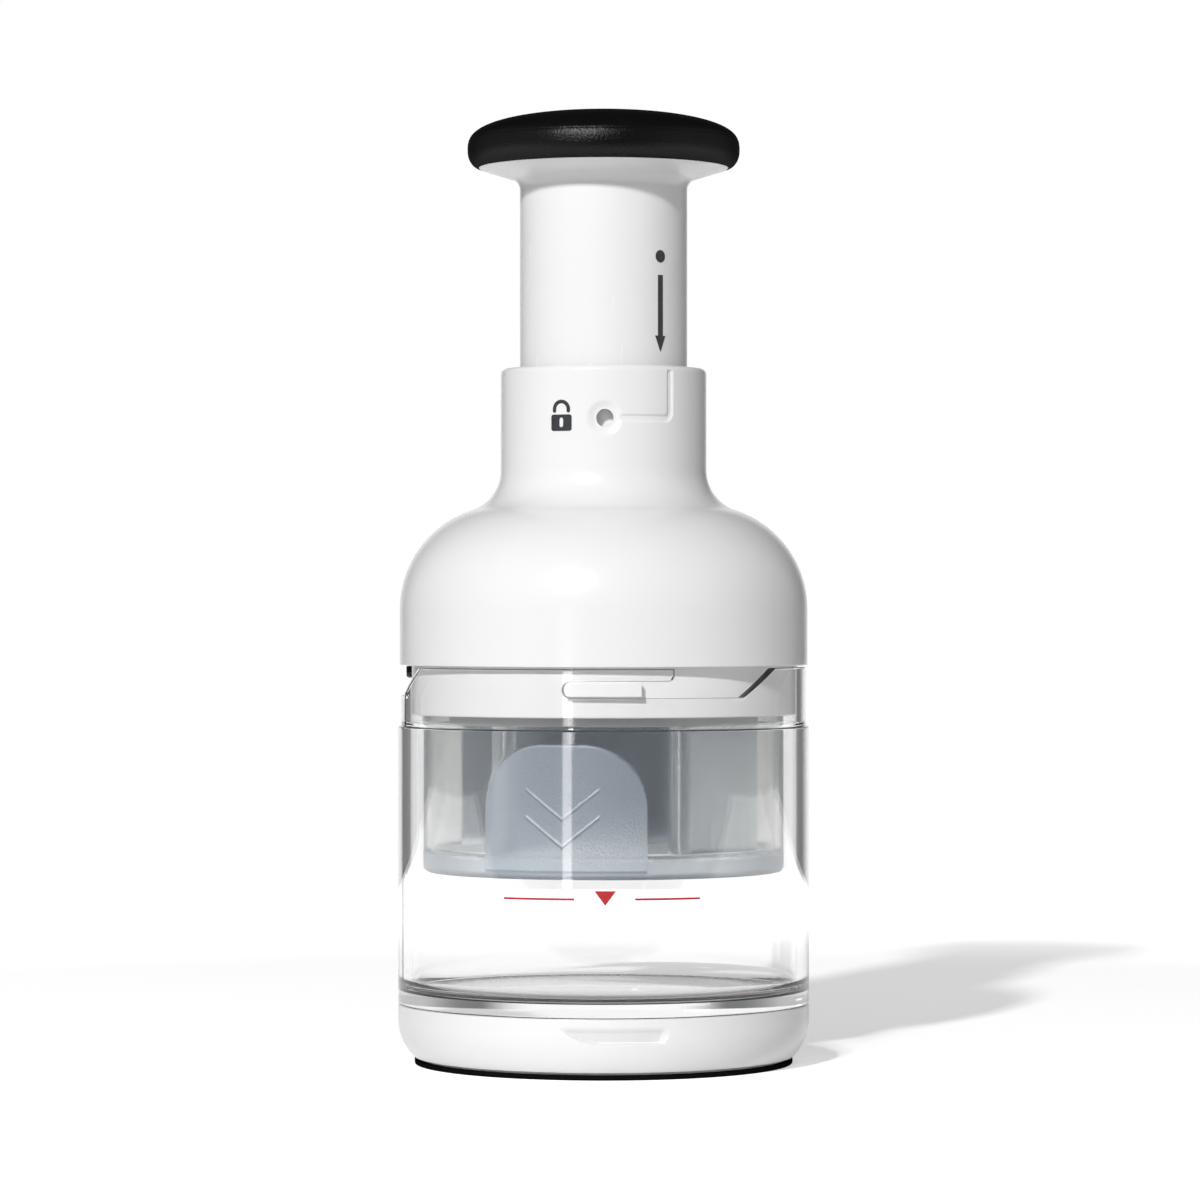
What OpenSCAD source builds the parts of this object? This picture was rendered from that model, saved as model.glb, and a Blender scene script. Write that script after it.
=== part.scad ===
// Plunger food chopper: a clear cup on a removable base, a white head that locks on the
// cup with a bayonet, and a sprung plunger that drives and turns a zig-zag blade.
// Millimetres. +Z is up, the front faces -Y and the origin is the middle of the foot's
// underside. A name that ends in _a is an angle in degrees, counted from the front
// towards +X, which is the same way round as a positive turn about +Z.

/* [Base] */
// Height of the rubber foot ring that shows below the base
foot_h = 1.2; // [0.8:0.1:2]
// How far the foot ring is let into the base
foot_seat = 1.4; // [1:0.1:2]
// How far the foot ring lies inside the cup's outside
foot_inset = 4.1; // [3.9:0.1:5]
// Width of the foot ring on the table
foot_w = 11; // [9:0.2:13]
// Height of the base's top edge above the table
base_h = 15.1; // [14.5:0.1:18]
// Thickness of the base's walls and of its top plate
base_wall = 2.1; // [1.8:0.1:2.6]
// Radius of the curve between the base's side and its underside
base_round = 13; // [12:0.5:15]
// How far the thumb notch is let into the base's side
notch_depth = 1.8; // [1:0.1:2.1]
// Width of the thumb notch, measured round the base
notch_w = 30; // [20:1:40]
// Height of the thumb notch
notch_h = 5.7; // [4:0.1:6]
// Angle of the thumb notch
notch_a = 2; // [-10:0.5:10]

/* [Cup] */
// Outer diameter of the cup
cup_d = 102.6; // [100:0.2:108]
// Wall of the cup
cup_wall = 3; // [2.8:0.1:3.4]
// Thickness of the cup's floor
cup_floor = 3.1; // [2.4:0.1:4]
// Height of the cup from the base's top edge to its rim
cup_h = 83.8; // [82:0.1:86]
// Height of the set-back band below the rim
band_h = 14.8; // [13:0.1:16]
// How far that band is set back
band_inset = 0.8; // [0.4:0.1:0.9]
// Radius between the cup's floor and its wall
floor_fillet = 3.8; // [2:0.2:5]
// Depth of the cup's plug in the base
plug_h = 5.9; // [5:0.1:6.4]
// Wall of that plug
plug_wall = 2.4; // [2:0.1:3]
// Height of the fill line above the cup's floor
fill_level = 25.6; // [18:0.2:28]
// Height of the fill line's stroke
fill_line_h = 0.5; // [0.3:0.1:1]

/* [Bayonet] */
// Number of lugs on the lock ring
lug_count = 3; // [2:1:3]
// Length of one lug, in degrees
lug_span_a = 21.4; // [16:0.2:23]
// Height of one lug
lug_h = 3.2; // [2.6:0.1:3.4]
// Height of the slot that holds a lug
slot_h = 4; // [3.9:0.1:4.4]
// Middle of the slot below the cup's rim
slot_drop = 5; // [4.5:0.1:6]
// Turn that frees the head
unlock_turn_a = 31.3; // [25:0.1:34]
// Length of the slope that leads from the rim down into the slot, in degrees
slope_a = 14; // [8:0.5:18]
// Angle of the front lug when the head is locked
lug_a = -0.3; // [-4:0.1:4]

/* [Head] */
// How far the housing's side lies inside the cup's
head_inset = 0.4; // [0.1:0.1:1.5]
// Wall of the housing
housing_wall = 2.4; // [2:0.1:2.6]
// Height of the housing's straight skirt
skirt_h = 13.9; // [12:0.1:16]
// Radius of the housing's shoulder
shoulder_round = 26; // [25:0.2:27]
// Radius of the hollow curve between the shoulder and the neck
neck_fillet = 10.5; // [9:0.1:12]
// Outer diameter of the neck
neck_d = 51.4; // [51:0.2:53]
// Height of the neck's rim above the cup's rim
head_h = 74.3; // [72:0.1:77]
// Radius of the neck's rim
neck_rim_round = 1.4; // [0.8:0.1:1.6]
// Middle of the lock window below the neck's rim
window_drop = 13.1; // [11:0.1:15]
// Diameter of the lock window
window_d = 4.4; // [3.4:0.1:5]
// Diameter of the dish round the lock window
dish_d = 9.2; // [7:0.1:10]
// Angle of the lock window
window_a = 0.7; // [-3:0.1:3]
// Width of the track line engraved in the neck
track_w = 0.9; // [0.5:0.1:1.2]
// Depth of the track line
track_depth = 0.4; // [0.2:0.05:0.6]
// Depth of the lock ring inside the cup
ring_depth = 12.3; // [11.5:0.1:13]
// Height of the lock ring inside the housing
ring_grip = 7.7; // [5:0.1:9]
// Thickness of the plate that closes the head
plate_h = 2.6; // [2:0.1:3]

/* [Plunger] */
// Wall of the bush that guides the tube in the neck
bush_wall = 2.05; // [1.9:0.05:2.3]
// Wall of the plunger tube
tube_wall = 2.2; // [1.8:0.1:2.4]
// Travel of the plunger down to its lock
plunger_travel = 40.2; // [36:0.1:41]
// Clear height between the pressed tube and the plate
tube_foot_gap = 2.1; // [1.8:0.1:4]
// Height of the knob's flange above the neck when the plunger is down
knob_clear = 9.9; // [8:0.1:14]
// Diameter of the knob's cushion
knob_d = 68; // [66:0.5:74]
// Height of the cushion's crown above its widest line
crown_h = 9.9; // [8:0.1:11]
// Height of the cushion's widest line above its lower edge
lip_h = 4.3; // [3.6:0.1:5]
// How far the cushion reaches past the flange
cushion_overhang = 2.8; // [2.4:0.1:4]
// Slope of the flange's underside
flange_slope = 17.5; // [12:0.5:20]
// Diameter of the printed dot
dot_d = 3.1; // [2:0.1:3.4]
// Angle of the printed dot and arrow
mark_a = 42; // [38:0.5:46]
// Length of the printed arrow
arrow_l = 19; // [14:0.5:20]
// Thickness of every printed mark
ink = 0.08; // [0.05:0.01:0.1]
// Height of the keys on the tube's lower end
key_h = 4.2; // [3:0.1:5]
// Width of one key, in degrees
key_span_a = 9; // [6:0.5:12]

/* [Drive] */
// Outer diameter of the drive sleeve
sleeve_d = 20; // [19:0.2:21]
// Wall of the drive sleeve
sleeve_wall = 2; // [1.6:0.1:2.4]
// Diameter of the steel shaft
shaft_d = 6; // [5:0.1:7]
// Travel that the plunger makes ahead of the blade
index_lift = 5.8; // [4:0.1:6.4]
// Turn of the shaft over one push
index_turn_a = 15; // [10:0.5:15]
// Diameter of the cross pin
pin_d = 3; // [2.4:0.1:3.2]
// Wire of the return spring
spring_wire = 1.3; // [1:0.1:1.5]
// Open turns of the return spring
spring_turns = 11; // [9:1:13]
// Mean diameter of the index spring
index_spring_d = 10.4; // [9.8:0.1:11]
// Wire of the index spring
index_spring_wire = 0.8; // [0.6:0.1:0.9]
// Open turns of the index spring
index_spring_turns = 2; // [2:1:3]

/* [Blade] */
// Thickness of the blade strip
blade_t = 0.6; // [0.5:0.05:0.8]
// Height of the blade below its carrier
blade_h = 31.2; // [28:0.2:33]
// Height of the thin cutting edge
edge_h = 1.4; // [0.8:0.1:2]
// Gap between the blade's circle and the guard's foot pads
blade_gap = 0.9; // [0.6:0.1:2]
// Half the distance between the blade's two legs
leg_x = 20.9; // [19:0.1:22]
// Mean radius of the blade's bends
bend_r = 3.1; // [2.6:0.1:3.6]
// Angle of the blade's free end, from its own front
tip_a = 75; // [70:0.5:80]
// Angle at which the blade rests
blade_rest_a = -4.6; // [-8:0.1:8]
// Thickness of the blade carrier
carrier_h = 2.8; // [2.4:0.1:3.2]
// Teeth on the ratchet wheel
ratchet_teeth = 24; // [12:12:24]
// Outer diameter of the ratchet wheel
ratchet_d = 13; // [12.6:0.1:13.4]

/* [Guard] */
// Gap between the guard and the cup's wall
guard_gap = 3.3; // [2.9:0.1:4.5]
// Wall of the blade guard
guard_wall = 1.8; // [1.4:0.1:2]
// Height of the guard
guard_h = 48.3; // [47.7:0.1:49.3]
// Width of the guard's lower lip, wall included
lip_w = 3.8; // [3:0.1:4.2]
// Height of that lip
guard_lip_h = 5.2; // [4:0.1:6]
// Width of the thumb pads on the guard
pad_w = 40.5; // [30:0.5:44]
// Height of the thumb pads
pad_h = 30.4; // [24:0.2:31]
// Angle of the front thumb pad
pad_a = -12.6; // [-20:0.2:20]

/* [Fits] */
// Gap between pieces that slide or turn on each other
gap = 0.3; // [0.2:0.05:0.35]
// Radial gap of the shaft in its bushes
shaft_gap = 0.1; // [0.05:0.01:0.15]
// Gap between pieces that are fixed together
seat = 0.05; // [0.02:0.01:0.08]

/* [Hidden] */
$fn = 96;
arc_steps = 12;
through = 1;                               // how far a cut runs past the surface it opens

// Base and cup
cup_r = cup_d / 2;
cup_in = cup_r - cup_wall;
band_r = cup_r - band_inset;
rim_z = base_h + cup_h;
floor_z = base_h + cup_floor;
fill_line_z = floor_z + fill_level;
plug_r = cup_in - 0.4;
plug_in = plug_r - plug_wall;
base_foot_r = cup_r - foot_inset;
base_flank_z = foot_h + 2.2;                // lower end of the curve in the base's side
base_curve_h = 8.2;
foot_step = 1.6;                           // the foot ring's visible flange past its seat
fill_strokes = [[-27.9, -7.9], [8.4, 26.8]]; // where each stroke of the fill line starts and ends
fill_mid_a = 0.4;
pointer_w = 5.2;
pointer_drop = 1.5;
pointer_rise = 2;
foot_in = base_foot_r - foot_w;
plate_top_z = base_h - gap;

// Head
housing_r = cup_r - head_inset;
housing_in = housing_r - housing_wall;
skirt_z = rim_z + 0.4;
shoulder_z = skirt_z + skirt_h;
shoulder_x = housing_r - shoulder_round;
neck_r = neck_d / 2;
neck_in = neck_r - housing_wall;
neck_top_z = rim_z + head_h;
window_z = neck_top_z - window_drop;
fillet_x = neck_r + neck_fillet;
fillet_z = shoulder_z + sqrt(pow(shoulder_round + neck_fillet, 2) - pow(fillet_x - shoulder_x, 2));
join_a = atan2(fillet_z - shoulder_z, fillet_x - shoulder_x);
icon_a = -23.8;                             // angle of the printed padlock
ring_r = cup_in - 0.4;
ring_z = skirt_z - ring_depth;
guard_r = cup_in - guard_gap;
ring_in = guard_r + gap + seat;
ring_top_r = housing_in - seat;
lug_z = rim_z - slot_drop;
lug_r = band_r - 0.2;
slot_play_a = 0.4;
entry_drop = 0.1;                          // how much lower the entry's floor lies than the slot's
slope_lap = 0.3;                           // how far the slope reaches into the entry
slot_end_a = lug_a - lug_span_a / 2 - slot_play_a;
entry_a = slot_end_a + unlock_turn_a;
entry_end_a = lug_a + lug_span_a / 2 + unlock_turn_a + slot_play_a;
plate_r = ring_in - seat;
plate_z = skirt_z - plate_h - 0.1;
plate_top = plate_z + plate_h;
guard_top = plate_z - gap;
guard_z = guard_top - guard_h;
boss_r = shaft_d / 2 + 3.2;
boss_drop = 2;                             // the plate's boss below and above the plate
boss_rise = 2.3;

// Plunger
tube_play = 0.22;                          // gap between the tube's prints and the guide bush
bush_r = neck_in - seat;
bush_in = bush_r - bush_wall;
tube_r = bush_in - tube_play - ink;
tube_in = tube_r - tube_wall;
tube_z = plate_top + tube_foot_gap + plunger_travel;
flange_r = knob_d / 2 - cushion_overhang;
flange_z = neck_top_z + plunger_travel + knob_clear; // the flange's lower edge
cushion_mid_z = flange_z + lip_h;
total_h = cushion_mid_z + crown_h;
flange_top = flange_z + 2.1;
flange_fillet = 3;
cap_r = flange_r - 1.7;
cap_h = 3;
cap_plug_h = 6.4;
bush_top = neck_top_z - 1.2;
key_r = bush_r - 0.15;
bush_z = tube_z + key_h + 0.2 - plunger_travel + gap;
key_z = tube_z + 0.2;
key_a = 90;
key_play_a = 0.8;
lock_turn_a = mark_a - window_a;
dot_z = window_z + plunger_travel;
arrow_z = dot_z - 4.6;                     // the arrow's upper end
crown_steps = 20;

// Drive
sleeve_r = sleeve_d / 2;
sleeve_in = sleeve_r - sleeve_wall;
bumper_h = boss_rise;
sleeve_z = plate_top + bumper_h + gap + plunger_travel;
sleeve_top = flange_top + 1.6;
bush_block_h = 5.2;
pin_z = sleeve_z + gap + bush_block_h + pin_d / 2 + 1;
pin_proud = 1;
pin_reach = sleeve_r + pin_proud;
pin_play = 0.3;
pin_a = 20;
washer_h = 1.6;
index_spring_l = 11.2;
shaft_over_pin = 35;
shaft_top = pin_z + shaft_over_pin;
washer_bore = 3;
washer_z = shaft_top + gap;
index_spring_z = washer_z + washer_h + gap;
web_z = index_spring_z + index_spring_l + gap;
web_h = 2.3;
seat_h = 1.4;
seat_lip_h = 1.3;
seat_lip_w = 0.9;
top_seat_h = 1.5;
top_seat_in = sleeve_r + 0.4;
collar_h = 1.7;                            // the upper seat's collar inside the spring
top_seat_z = flange_top - cap_plug_h - gap - top_seat_h;
spring_z = plate_top + seat_h + gap;
spring_l = top_seat_z - gap - spring_z;
seat_in = sleeve_r + 1.6;
seat_out = tube_in - 1.7;
spring_d = tube_in + sleeve_r;             // midway between the tube and the sleeve
spring_rings = 8;
spring_sides = 6;
closed_pitch = 0.45;                       // gap between the closed turns at a spring's ends

// Blade
guard_lip_in = guard_r - lip_w;
foot_pad_t = 0.9;
foot_pad_r = guard_lip_in - foot_pad_t;
blade_reach = foot_pad_r - blade_gap;
carrier_z = ring_z - carrier_h;
carrier_top = ring_z;
carrier_r = blade_reach - 0.9;
blade_z = carrier_z - blade_h;
blade_seat = 1.6;
edge_t = 0.22;
hub_in = ratchet_d / 2 + 1.5;
hub_r = hub_in + 2.5;
wheel_z = carrier_top + gap;
wheel_h = 4.6;
cap_z = wheel_z + wheel_h + gap;
hub_cap_h = 1.6;
shaft_foot_z = carrier_z + blade_seat + gap;
wheel_root = ratchet_d / 2 - 1.1;
finger_tip_a = 2.5;                        // where a ratchet finger starts, bends and ends
finger_mid_a = 14;
finger_end_a = 34;
finger_t = 1;
tooth_a = 360 / ratchet_teeth;
bend_reach = blade_reach - bend_r - blade_t / 2;
bend_y = sqrt(pow(bend_reach, 2) - pow(leg_x, 2));
tip_r = blade_reach - 0.2;

// Guard
guard_in = guard_r - guard_wall;
foot_pads = 6;
foot_pad_a = -37;
foot_pad_span_a = 15;
pad_round = 15.5;
pad_z = guard_z + 2;
pad_t = 0.3;

// --- helpers -------------------------------------------------------------------------

// A point at radius r on an arc round (x, z), at angle a from the +X side
function on_arc(x, z, r, a) = [x + r * cos(a), z + r * sin(a)];
// The points of an arc from angle a1 to a2
function arc(x, z, r, a1, a2, n = arc_steps) = [for (i = [0:n]) on_arc(x, z, r, a1 + (a2 - a1) * i / n)];

// A solid of revolution from points [radius, z]
module turned(points) {
    rotate_extrude() polygon(points);
}

// A plain tube
module tube(r_in, r_out, z1, z2) {
    turned([[r_in, z1], [r_out, z1], [r_out, z2], [r_in, z2]]);
}

// A stretch of a tube from angle a1 to a2
module sector(r_in, r_out, z1, z2, a1, a2) {
    rotate([0, 0, a1 - 90])
        rotate_extrude(angle = a2 - a1)
            polygon([[r_in, z1], [r_out, z1], [r_out, z2], [r_in, z2]]);
}

// Copies a flat drawing outwards through the wall at angle a: its X runs round the
// piece, its Y runs up from z, and only what lies between two radii is kept
module wrapped(a, z, r_in, r_out) {
    rotate([0, 0, a]) intersection() {
        translate([0, 0, z]) rotate([90, 0, 0]) linear_extrude(height = r_out + through) children();
        difference() {
            cylinder(r = r_out, h = 4 * total_h, center = true);
            cylinder(r = r_in, h = 4 * total_h, center = true);
        }
    }
}

// A round hole from the axis out to radius r, at angle a and height z
module radial_hole(a, z, d, r) {
    rotate([0, 0, a]) translate([0, 0, z]) rotate([90, 0, 0]) cylinder(d = d, h = r);
}

// --- springs -------------------------------------------------------------------------

// Height of a spring's wire after t turns: one closed turn at each end, open turns between
function coil_z(t, turns, wire, length) =
    let (closed = wire + closed_pitch, open = (length - wire - 2 * closed) / turns)
    wire / 2 + (t < 1 ? t * closed : t < 1 + turns ? closed + (t - 1) * open
        : closed + turns * open + (t - 1 - turns) * closed);

function coil_centres(r, turns, wire, length) =
    [for (i = [0:(turns + 2) * spring_rings])
        let (t = i / spring_rings)
        [r * cos(360 * t), r * sin(360 * t), coil_z(t, turns, wire, length)]];

function coil_points(r, turns, wire, length) =
    [for (i = [0:(turns + 2) * spring_rings], k = [0:spring_sides - 1])
        let (t = i / spring_rings, a = 360 * t, b = 360 * k / spring_sides,
             reach = r + wire / 2 * cos(b))
        [reach * cos(a), reach * sin(a), coil_z(t, turns, wire, length) + wire / 2 * sin(b)]];

function coil_faces(count) = concat(
    [for (i = [0:count - 2], k = [0:spring_sides - 1], half = [0, 1])
        let (a = i * spring_sides + k, b = i * spring_sides + (k + 1) % spring_sides)
        half == 0 ? [a, a + spring_sides, b] : [b, a + spring_sides, b + spring_sides]],
    [for (k = [1:spring_sides - 2]) [0, k, k + 1]],
    [for (k = [1:spring_sides - 2])
        let (last = (count - 1) * spring_sides) [last, last + k + 1, last + k]]);

function least_gap(c, wire) =
    min([for (i = [0:len(c) - 1], j = [i + spring_rings / 2:1:len(c) - 1]) norm(c[i] - c[j])]) - wire;

module coil(d, wire, turns, length) {
    c = coil_centres(d / 2, turns, wire, length);
    echo(spring = d, least_gap_mm = least_gap(c, wire));
    polyhedron(coil_points(d / 2, turns, wire, length), coil_faces(len(c)), convexity = 10);
}

// --- base ----------------------------------------------------------------------------

module foot_ring() {
    color([0.06, 0.06, 0.06])
        turned([[foot_in, 0], [base_foot_r - 0.4, 0], [base_foot_r, 0.4], [base_foot_r, foot_h],
                [base_foot_r - foot_step, foot_h], [base_foot_r - foot_step, foot_h + foot_seat],
                [foot_in + foot_step + seat, foot_h + foot_seat], [foot_in + foot_step + seat, foot_h],
                [foot_in, foot_h]]);
}

// The thumb notch is flush with the side at its top and deepest at its lower edge
module thumb_notch() {
    half_a = notch_w / cup_r * 90 / PI;
    top = base_h - 0.6;
    low = top - notch_h;
    rotate([0, 0, notch_a - half_a - 90]) rotate_extrude(angle = 2 * half_a)
        polygon([[cup_r - 0.1, top], [cup_r + through, top], [cup_r + through, low],
                 [cup_r - notch_depth, low]]);
}

module base_shell() {
    cavity_z = base_h - plug_h - gap - base_wall;
    color([0.95, 0.95, 0.95]) difference() {
        turned(concat([[foot_in, foot_h], [base_foot_r + 0.2, foot_h]],
            arc(cup_r - base_round, base_flank_z + base_curve_h, base_round,
                -asin(base_curve_h / base_round), 0),
            [[cup_r, base_h], [plug_r + gap, base_h], [plug_r + gap, base_h - plug_h - gap],
             [plug_in - gap, base_h - plug_h - gap], [plug_in - gap, plate_top_z], [0, plate_top_z],
             [0, plate_top_z - base_wall], [foot_in, plate_top_z - base_wall]]));
        tube(foot_in + foot_step, base_foot_r - foot_step + seat, foot_h - through, cavity_z);
        thumb_notch();
    }
}

// --- cup -----------------------------------------------------------------------------

// The bayonet slot: a rounded closed end, the channel, the entry and its slope to the rim
module bayonet_slot() {
    end_a = slot_end_a + asin(slot_h / 2 / band_r);
    low = lug_z - slot_h / 2;
    top = rim_z + through;
    slope_w = 2 * band_r * sin(slope_a / 2);
    start = [-slope_w / 2 - slope_lap, low + slope_lap];
    slope = (rim_z - start[1]) / (slope_w / 2 - start[0]);
    wrapped(end_a, lug_z, ring_r, cup_r + through) circle(d = slot_h);
    sector(ring_r, cup_r + through, low, lug_z + slot_h / 2, end_a, entry_a + slot_play_a);
    sector(ring_r, cup_r + through, low - entry_drop, top, entry_a, entry_end_a);
    wrapped(entry_end_a + slope_a / 2, 0, ring_r, cup_r + through)
        polygon([start, [start[0] + (top - start[1]) / slope, top], [start[0], top]]);
}

module cup() {
    band_z = rim_z - band_h;
    color([0.86, 0.9, 0.92, 0.35]) difference() {
        turned(concat([[0, base_h], [plug_in, base_h], [plug_in, base_h - plug_h],
                       [plug_r, base_h - plug_h], [plug_r, base_h], [cup_r, base_h],
                       [cup_r, band_z], [band_r, band_z + 0.4], [band_r, rim_z], [cup_in, rim_z]],
            arc(cup_in - floor_fillet, floor_z + floor_fillet, floor_fillet, 0, -90),
            [[0, floor_z]]));
        for (i = [0:lug_count - 1]) rotate([0, 0, 360 / lug_count * i]) bayonet_slot();
    }
}

// Two strokes at the fill level, with a plain pointer between them
module fill_mark() {
    bottom = fill_line_z - fill_line_h / 2;
    color([0.75, 0.08, 0.1]) {
        for (stroke = fill_strokes)
            sector(cup_r, cup_r + ink, bottom, bottom + fill_line_h, stroke[0], stroke[1]);
        wrapped(fill_mid_a, fill_line_z, cup_r, cup_r + ink)
            polygon([[0, -pointer_drop], [pointer_w / 2, pointer_rise], [-pointer_w / 2, pointer_rise]]);
    }
}

// --- head ----------------------------------------------------------------------------

// Outline of the housing's outside (inwards = 0) or inside (inwards = its wall), from the
// skirt to the top of the neck
function housing_side(inwards) = concat(
    [[housing_r - inwards, skirt_z]],
    arc(shoulder_x, shoulder_z, shoulder_round - inwards, 0, join_a),
    arc(fillet_x, fillet_z, neck_fillet + inwards, 180 + join_a, 180));

function reversed(list) = [for (i = [len(list) - 1:-1:0]) list[i]];

// The track line: down from the rim at the marks' angle, then round to the lock window
module neck_track() {
    leg_a = mark_a - 2.5;
    dish_edge_a = window_a + asin(dish_d / 2 / neck_r);
    wrapped(leg_a, window_z, neck_r - track_depth, neck_r + through)
        translate([-track_w / 2, 0]) square([track_w, neck_top_z - window_z - 1.8]);
    sector(neck_r - track_depth, neck_r + through, window_z - track_w / 2, window_z + track_w / 2,
           dish_edge_a, leg_a);
}

module window_dish() {
    rotate([0, 0, window_a]) translate([0, -neck_r - 0.2, window_z]) rotate([-90, 0, 0])
        cylinder(d1 = dish_d, d2 = window_d, h = 1.4);
}

module housing() {
    color([0.95, 0.95, 0.95]) difference() {
        turned(concat(housing_side(0),
            arc(neck_r - neck_rim_round, neck_top_z - neck_rim_round, neck_rim_round, 0, 90, 6),
            [[neck_in, neck_top_z]], reversed(housing_side(housing_wall))));
        radial_hole(window_a, window_z, window_d, neck_r + through);
        window_dish();
        neck_track();
    }
}

// The bush guides the plunger. Each key passes down a channel in it, from a wide pocket at
// the top, and turns under its lower edge, which holds the plunger down.
module guide_bush() {
    channel_a = key_span_a / 2 + key_play_a;
    color([0.88, 0.89, 0.9]) difference() {
        tube(bush_in, bush_r, bush_z, bush_top);
        for (turn = [0, 180]) rotate([0, 0, turn]) {
            sector(bush_in - through, bush_r + through, bush_z - through, key_z + key_h,
                   key_a - channel_a, key_a + channel_a);
            sector(bush_in - through, bush_r + through, key_z - gap, key_z + key_h + gap,
                   key_a - lock_turn_a - channel_a, key_a + channel_a + key_play_a);
        }
        radial_hole(window_a, window_z, window_d, neck_r + through);
    }
}

// A lug with a round front end, which leads in the slot, and a square rear end
module lug() {
    round_a = lug_a - lug_span_a / 2 + asin(lug_h / 2 / lug_r);
    sector(ring_r - 0.5, lug_r, lug_z - lug_h / 2, lug_z + lug_h / 2, round_a, lug_a + lug_span_a / 2);
    wrapped(round_a, lug_z, ring_r - 0.5, lug_r) circle(d = lug_h);
}

module lock_ring() {
    color([0.95, 0.95, 0.95]) {
        turned([[ring_in, ring_z], [ring_r, ring_z], [ring_r, skirt_z], [ring_top_r, skirt_z],
                [ring_top_r, skirt_z + ring_grip], [ring_in, skirt_z + ring_grip]]);
        for (i = [0:lug_count - 1]) rotate([0, 0, 360 / lug_count * i]) lug();
    }
}

// A plain padlock with its bow lifted off, printed beside the lock window
module lock_icon() {
    body_w = 5.4;
    body_h = 4;
    body_top = 0.9;
    key_w = 1;
    key_h = 2.3;
    bow_r = 2.3;
    bow_w = 0.9;
    bow_z = 2.2;
    bow_leg = 0.9;
    color([0.15, 0.17, 0.2]) wrapped(icon_a, window_z, neck_r, neck_r + ink) {
        difference() {
            translate([-body_w / 2, body_top - body_h]) square([body_w, body_h]);
            translate([-key_w / 2, body_top - (body_h + key_h) / 2]) square([key_w, key_h]);
        }
        translate([0, bow_z]) difference() {
            circle(r = bow_r);
            circle(r = bow_r - bow_w);
            translate([-body_w, -body_w]) square([2 * body_w, body_w]);
        }
        for (side = [-1, 1])
            translate([side * (bow_r - bow_w / 2) - bow_w / 2, bow_z - bow_leg])
                square([bow_w, bow_leg + 0.05]);
    }
}

module spring_plate() {
    color([0.9, 0.9, 0.9]) difference() {
        union() {
            cylinder_between(plate_r, plate_z, plate_top);
            cylinder_between(boss_r, plate_z - boss_drop, plate_top + boss_rise);
        }
        cylinder_between(shaft_d / 2 + shaft_gap, plate_z - boss_drop - through,
                         plate_top + boss_rise + through);
    }
}

module cylinder_between(r, z1, z2) {
    translate([0, 0, z1]) cylinder(r = r, h = z2 - z1);
}

module spring_seat() {
    color([0.75, 0.76, 0.78])
        turned([[seat_in, plate_top], [seat_out, plate_top], [seat_out, plate_top + seat_h + seat_lip_h],
                [seat_out - seat_lip_w, plate_top + seat_h + seat_lip_h],
                [seat_out - seat_lip_w, plate_top + seat_h], [seat_in, plate_top + seat_h]]);
}

module bumper() {
    color([0.2, 0.2, 0.22]) tube(sleeve_in + 0.4, sleeve_r + 1.2, plate_top, plate_top + bumper_h);
}

module return_spring() {
    color([0.7, 0.71, 0.73]) translate([0, 0, spring_z])
        coil(spring_d, spring_wire, spring_turns, spring_l);
}

// --- guard ---------------------------------------------------------------------------

module arch_pad() {
    wrapped(0, pad_z, guard_r - 0.2, guard_r + pad_t) intersection() {
        translate([-pad_w / 2, 0]) square([pad_w, pad_h]);
        union() {
            translate([-pad_w / 2, 0]) square([pad_w, pad_h - pad_round]);
            translate([-pad_w / 2 + pad_round, 0]) square([pad_w - 2 * pad_round, pad_h]);
            for (side = [-1, 1])
                translate([side * (pad_w / 2 - pad_round), pad_h - pad_round]) circle(r = pad_round);
        }
    }
}

// Two raised lines that point down
module chevrons() {
    half_w = 9;
    drop = 7.3;
    stroke = 0.5;
    for (rise = [6, 12.6]) wrapped(0, pad_z + rise, guard_r - 0.2, guard_r + pad_t + 0.25)
        polygon([[0, 0], [half_w, drop], [half_w, drop + stroke], [0, stroke],
                 [-half_w, drop + stroke], [-half_w, drop]]);
}

module blade_guard() {
    color([0.8, 0.83, 0.86, 0.4]) {
        turned(concat([[guard_in, guard_top], [guard_in, guard_z + guard_lip_h + 1],
                       [guard_lip_in, guard_z + guard_lip_h], [guard_lip_in, guard_z + 0.6],
                       [guard_lip_in + 0.6, guard_z]],
            arc(guard_r - 1.6, guard_z + 1.6, 1.6, -90, 0, 6), [[guard_r, guard_top]]));
        for (i = [0:foot_pads - 1])
            sector(foot_pad_r, guard_lip_in + 0.2, guard_z + 0.6, guard_z + guard_lip_h,
                   foot_pad_a + 360 / foot_pads * i - foot_pad_span_a / 2,
                   foot_pad_a + 360 / foot_pads * i + foot_pad_span_a / 2);
        for (turn = [0, 180]) rotate([0, 0, pad_a + turn]) {
            arch_pad();
            chevrons();
        }
    }
}

// --- plunger -------------------------------------------------------------------------

module top_spring_seat() {
    color([0.75, 0.76, 0.78])
        turned([[top_seat_in, top_seat_z + top_seat_h], [seat_out + 0.6, top_seat_z + top_seat_h],
                [seat_out + 0.6, top_seat_z], [top_seat_in + 1, top_seat_z],
                [top_seat_in + 1, top_seat_z - collar_h], [top_seat_in, top_seat_z - collar_h]]);
}

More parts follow.
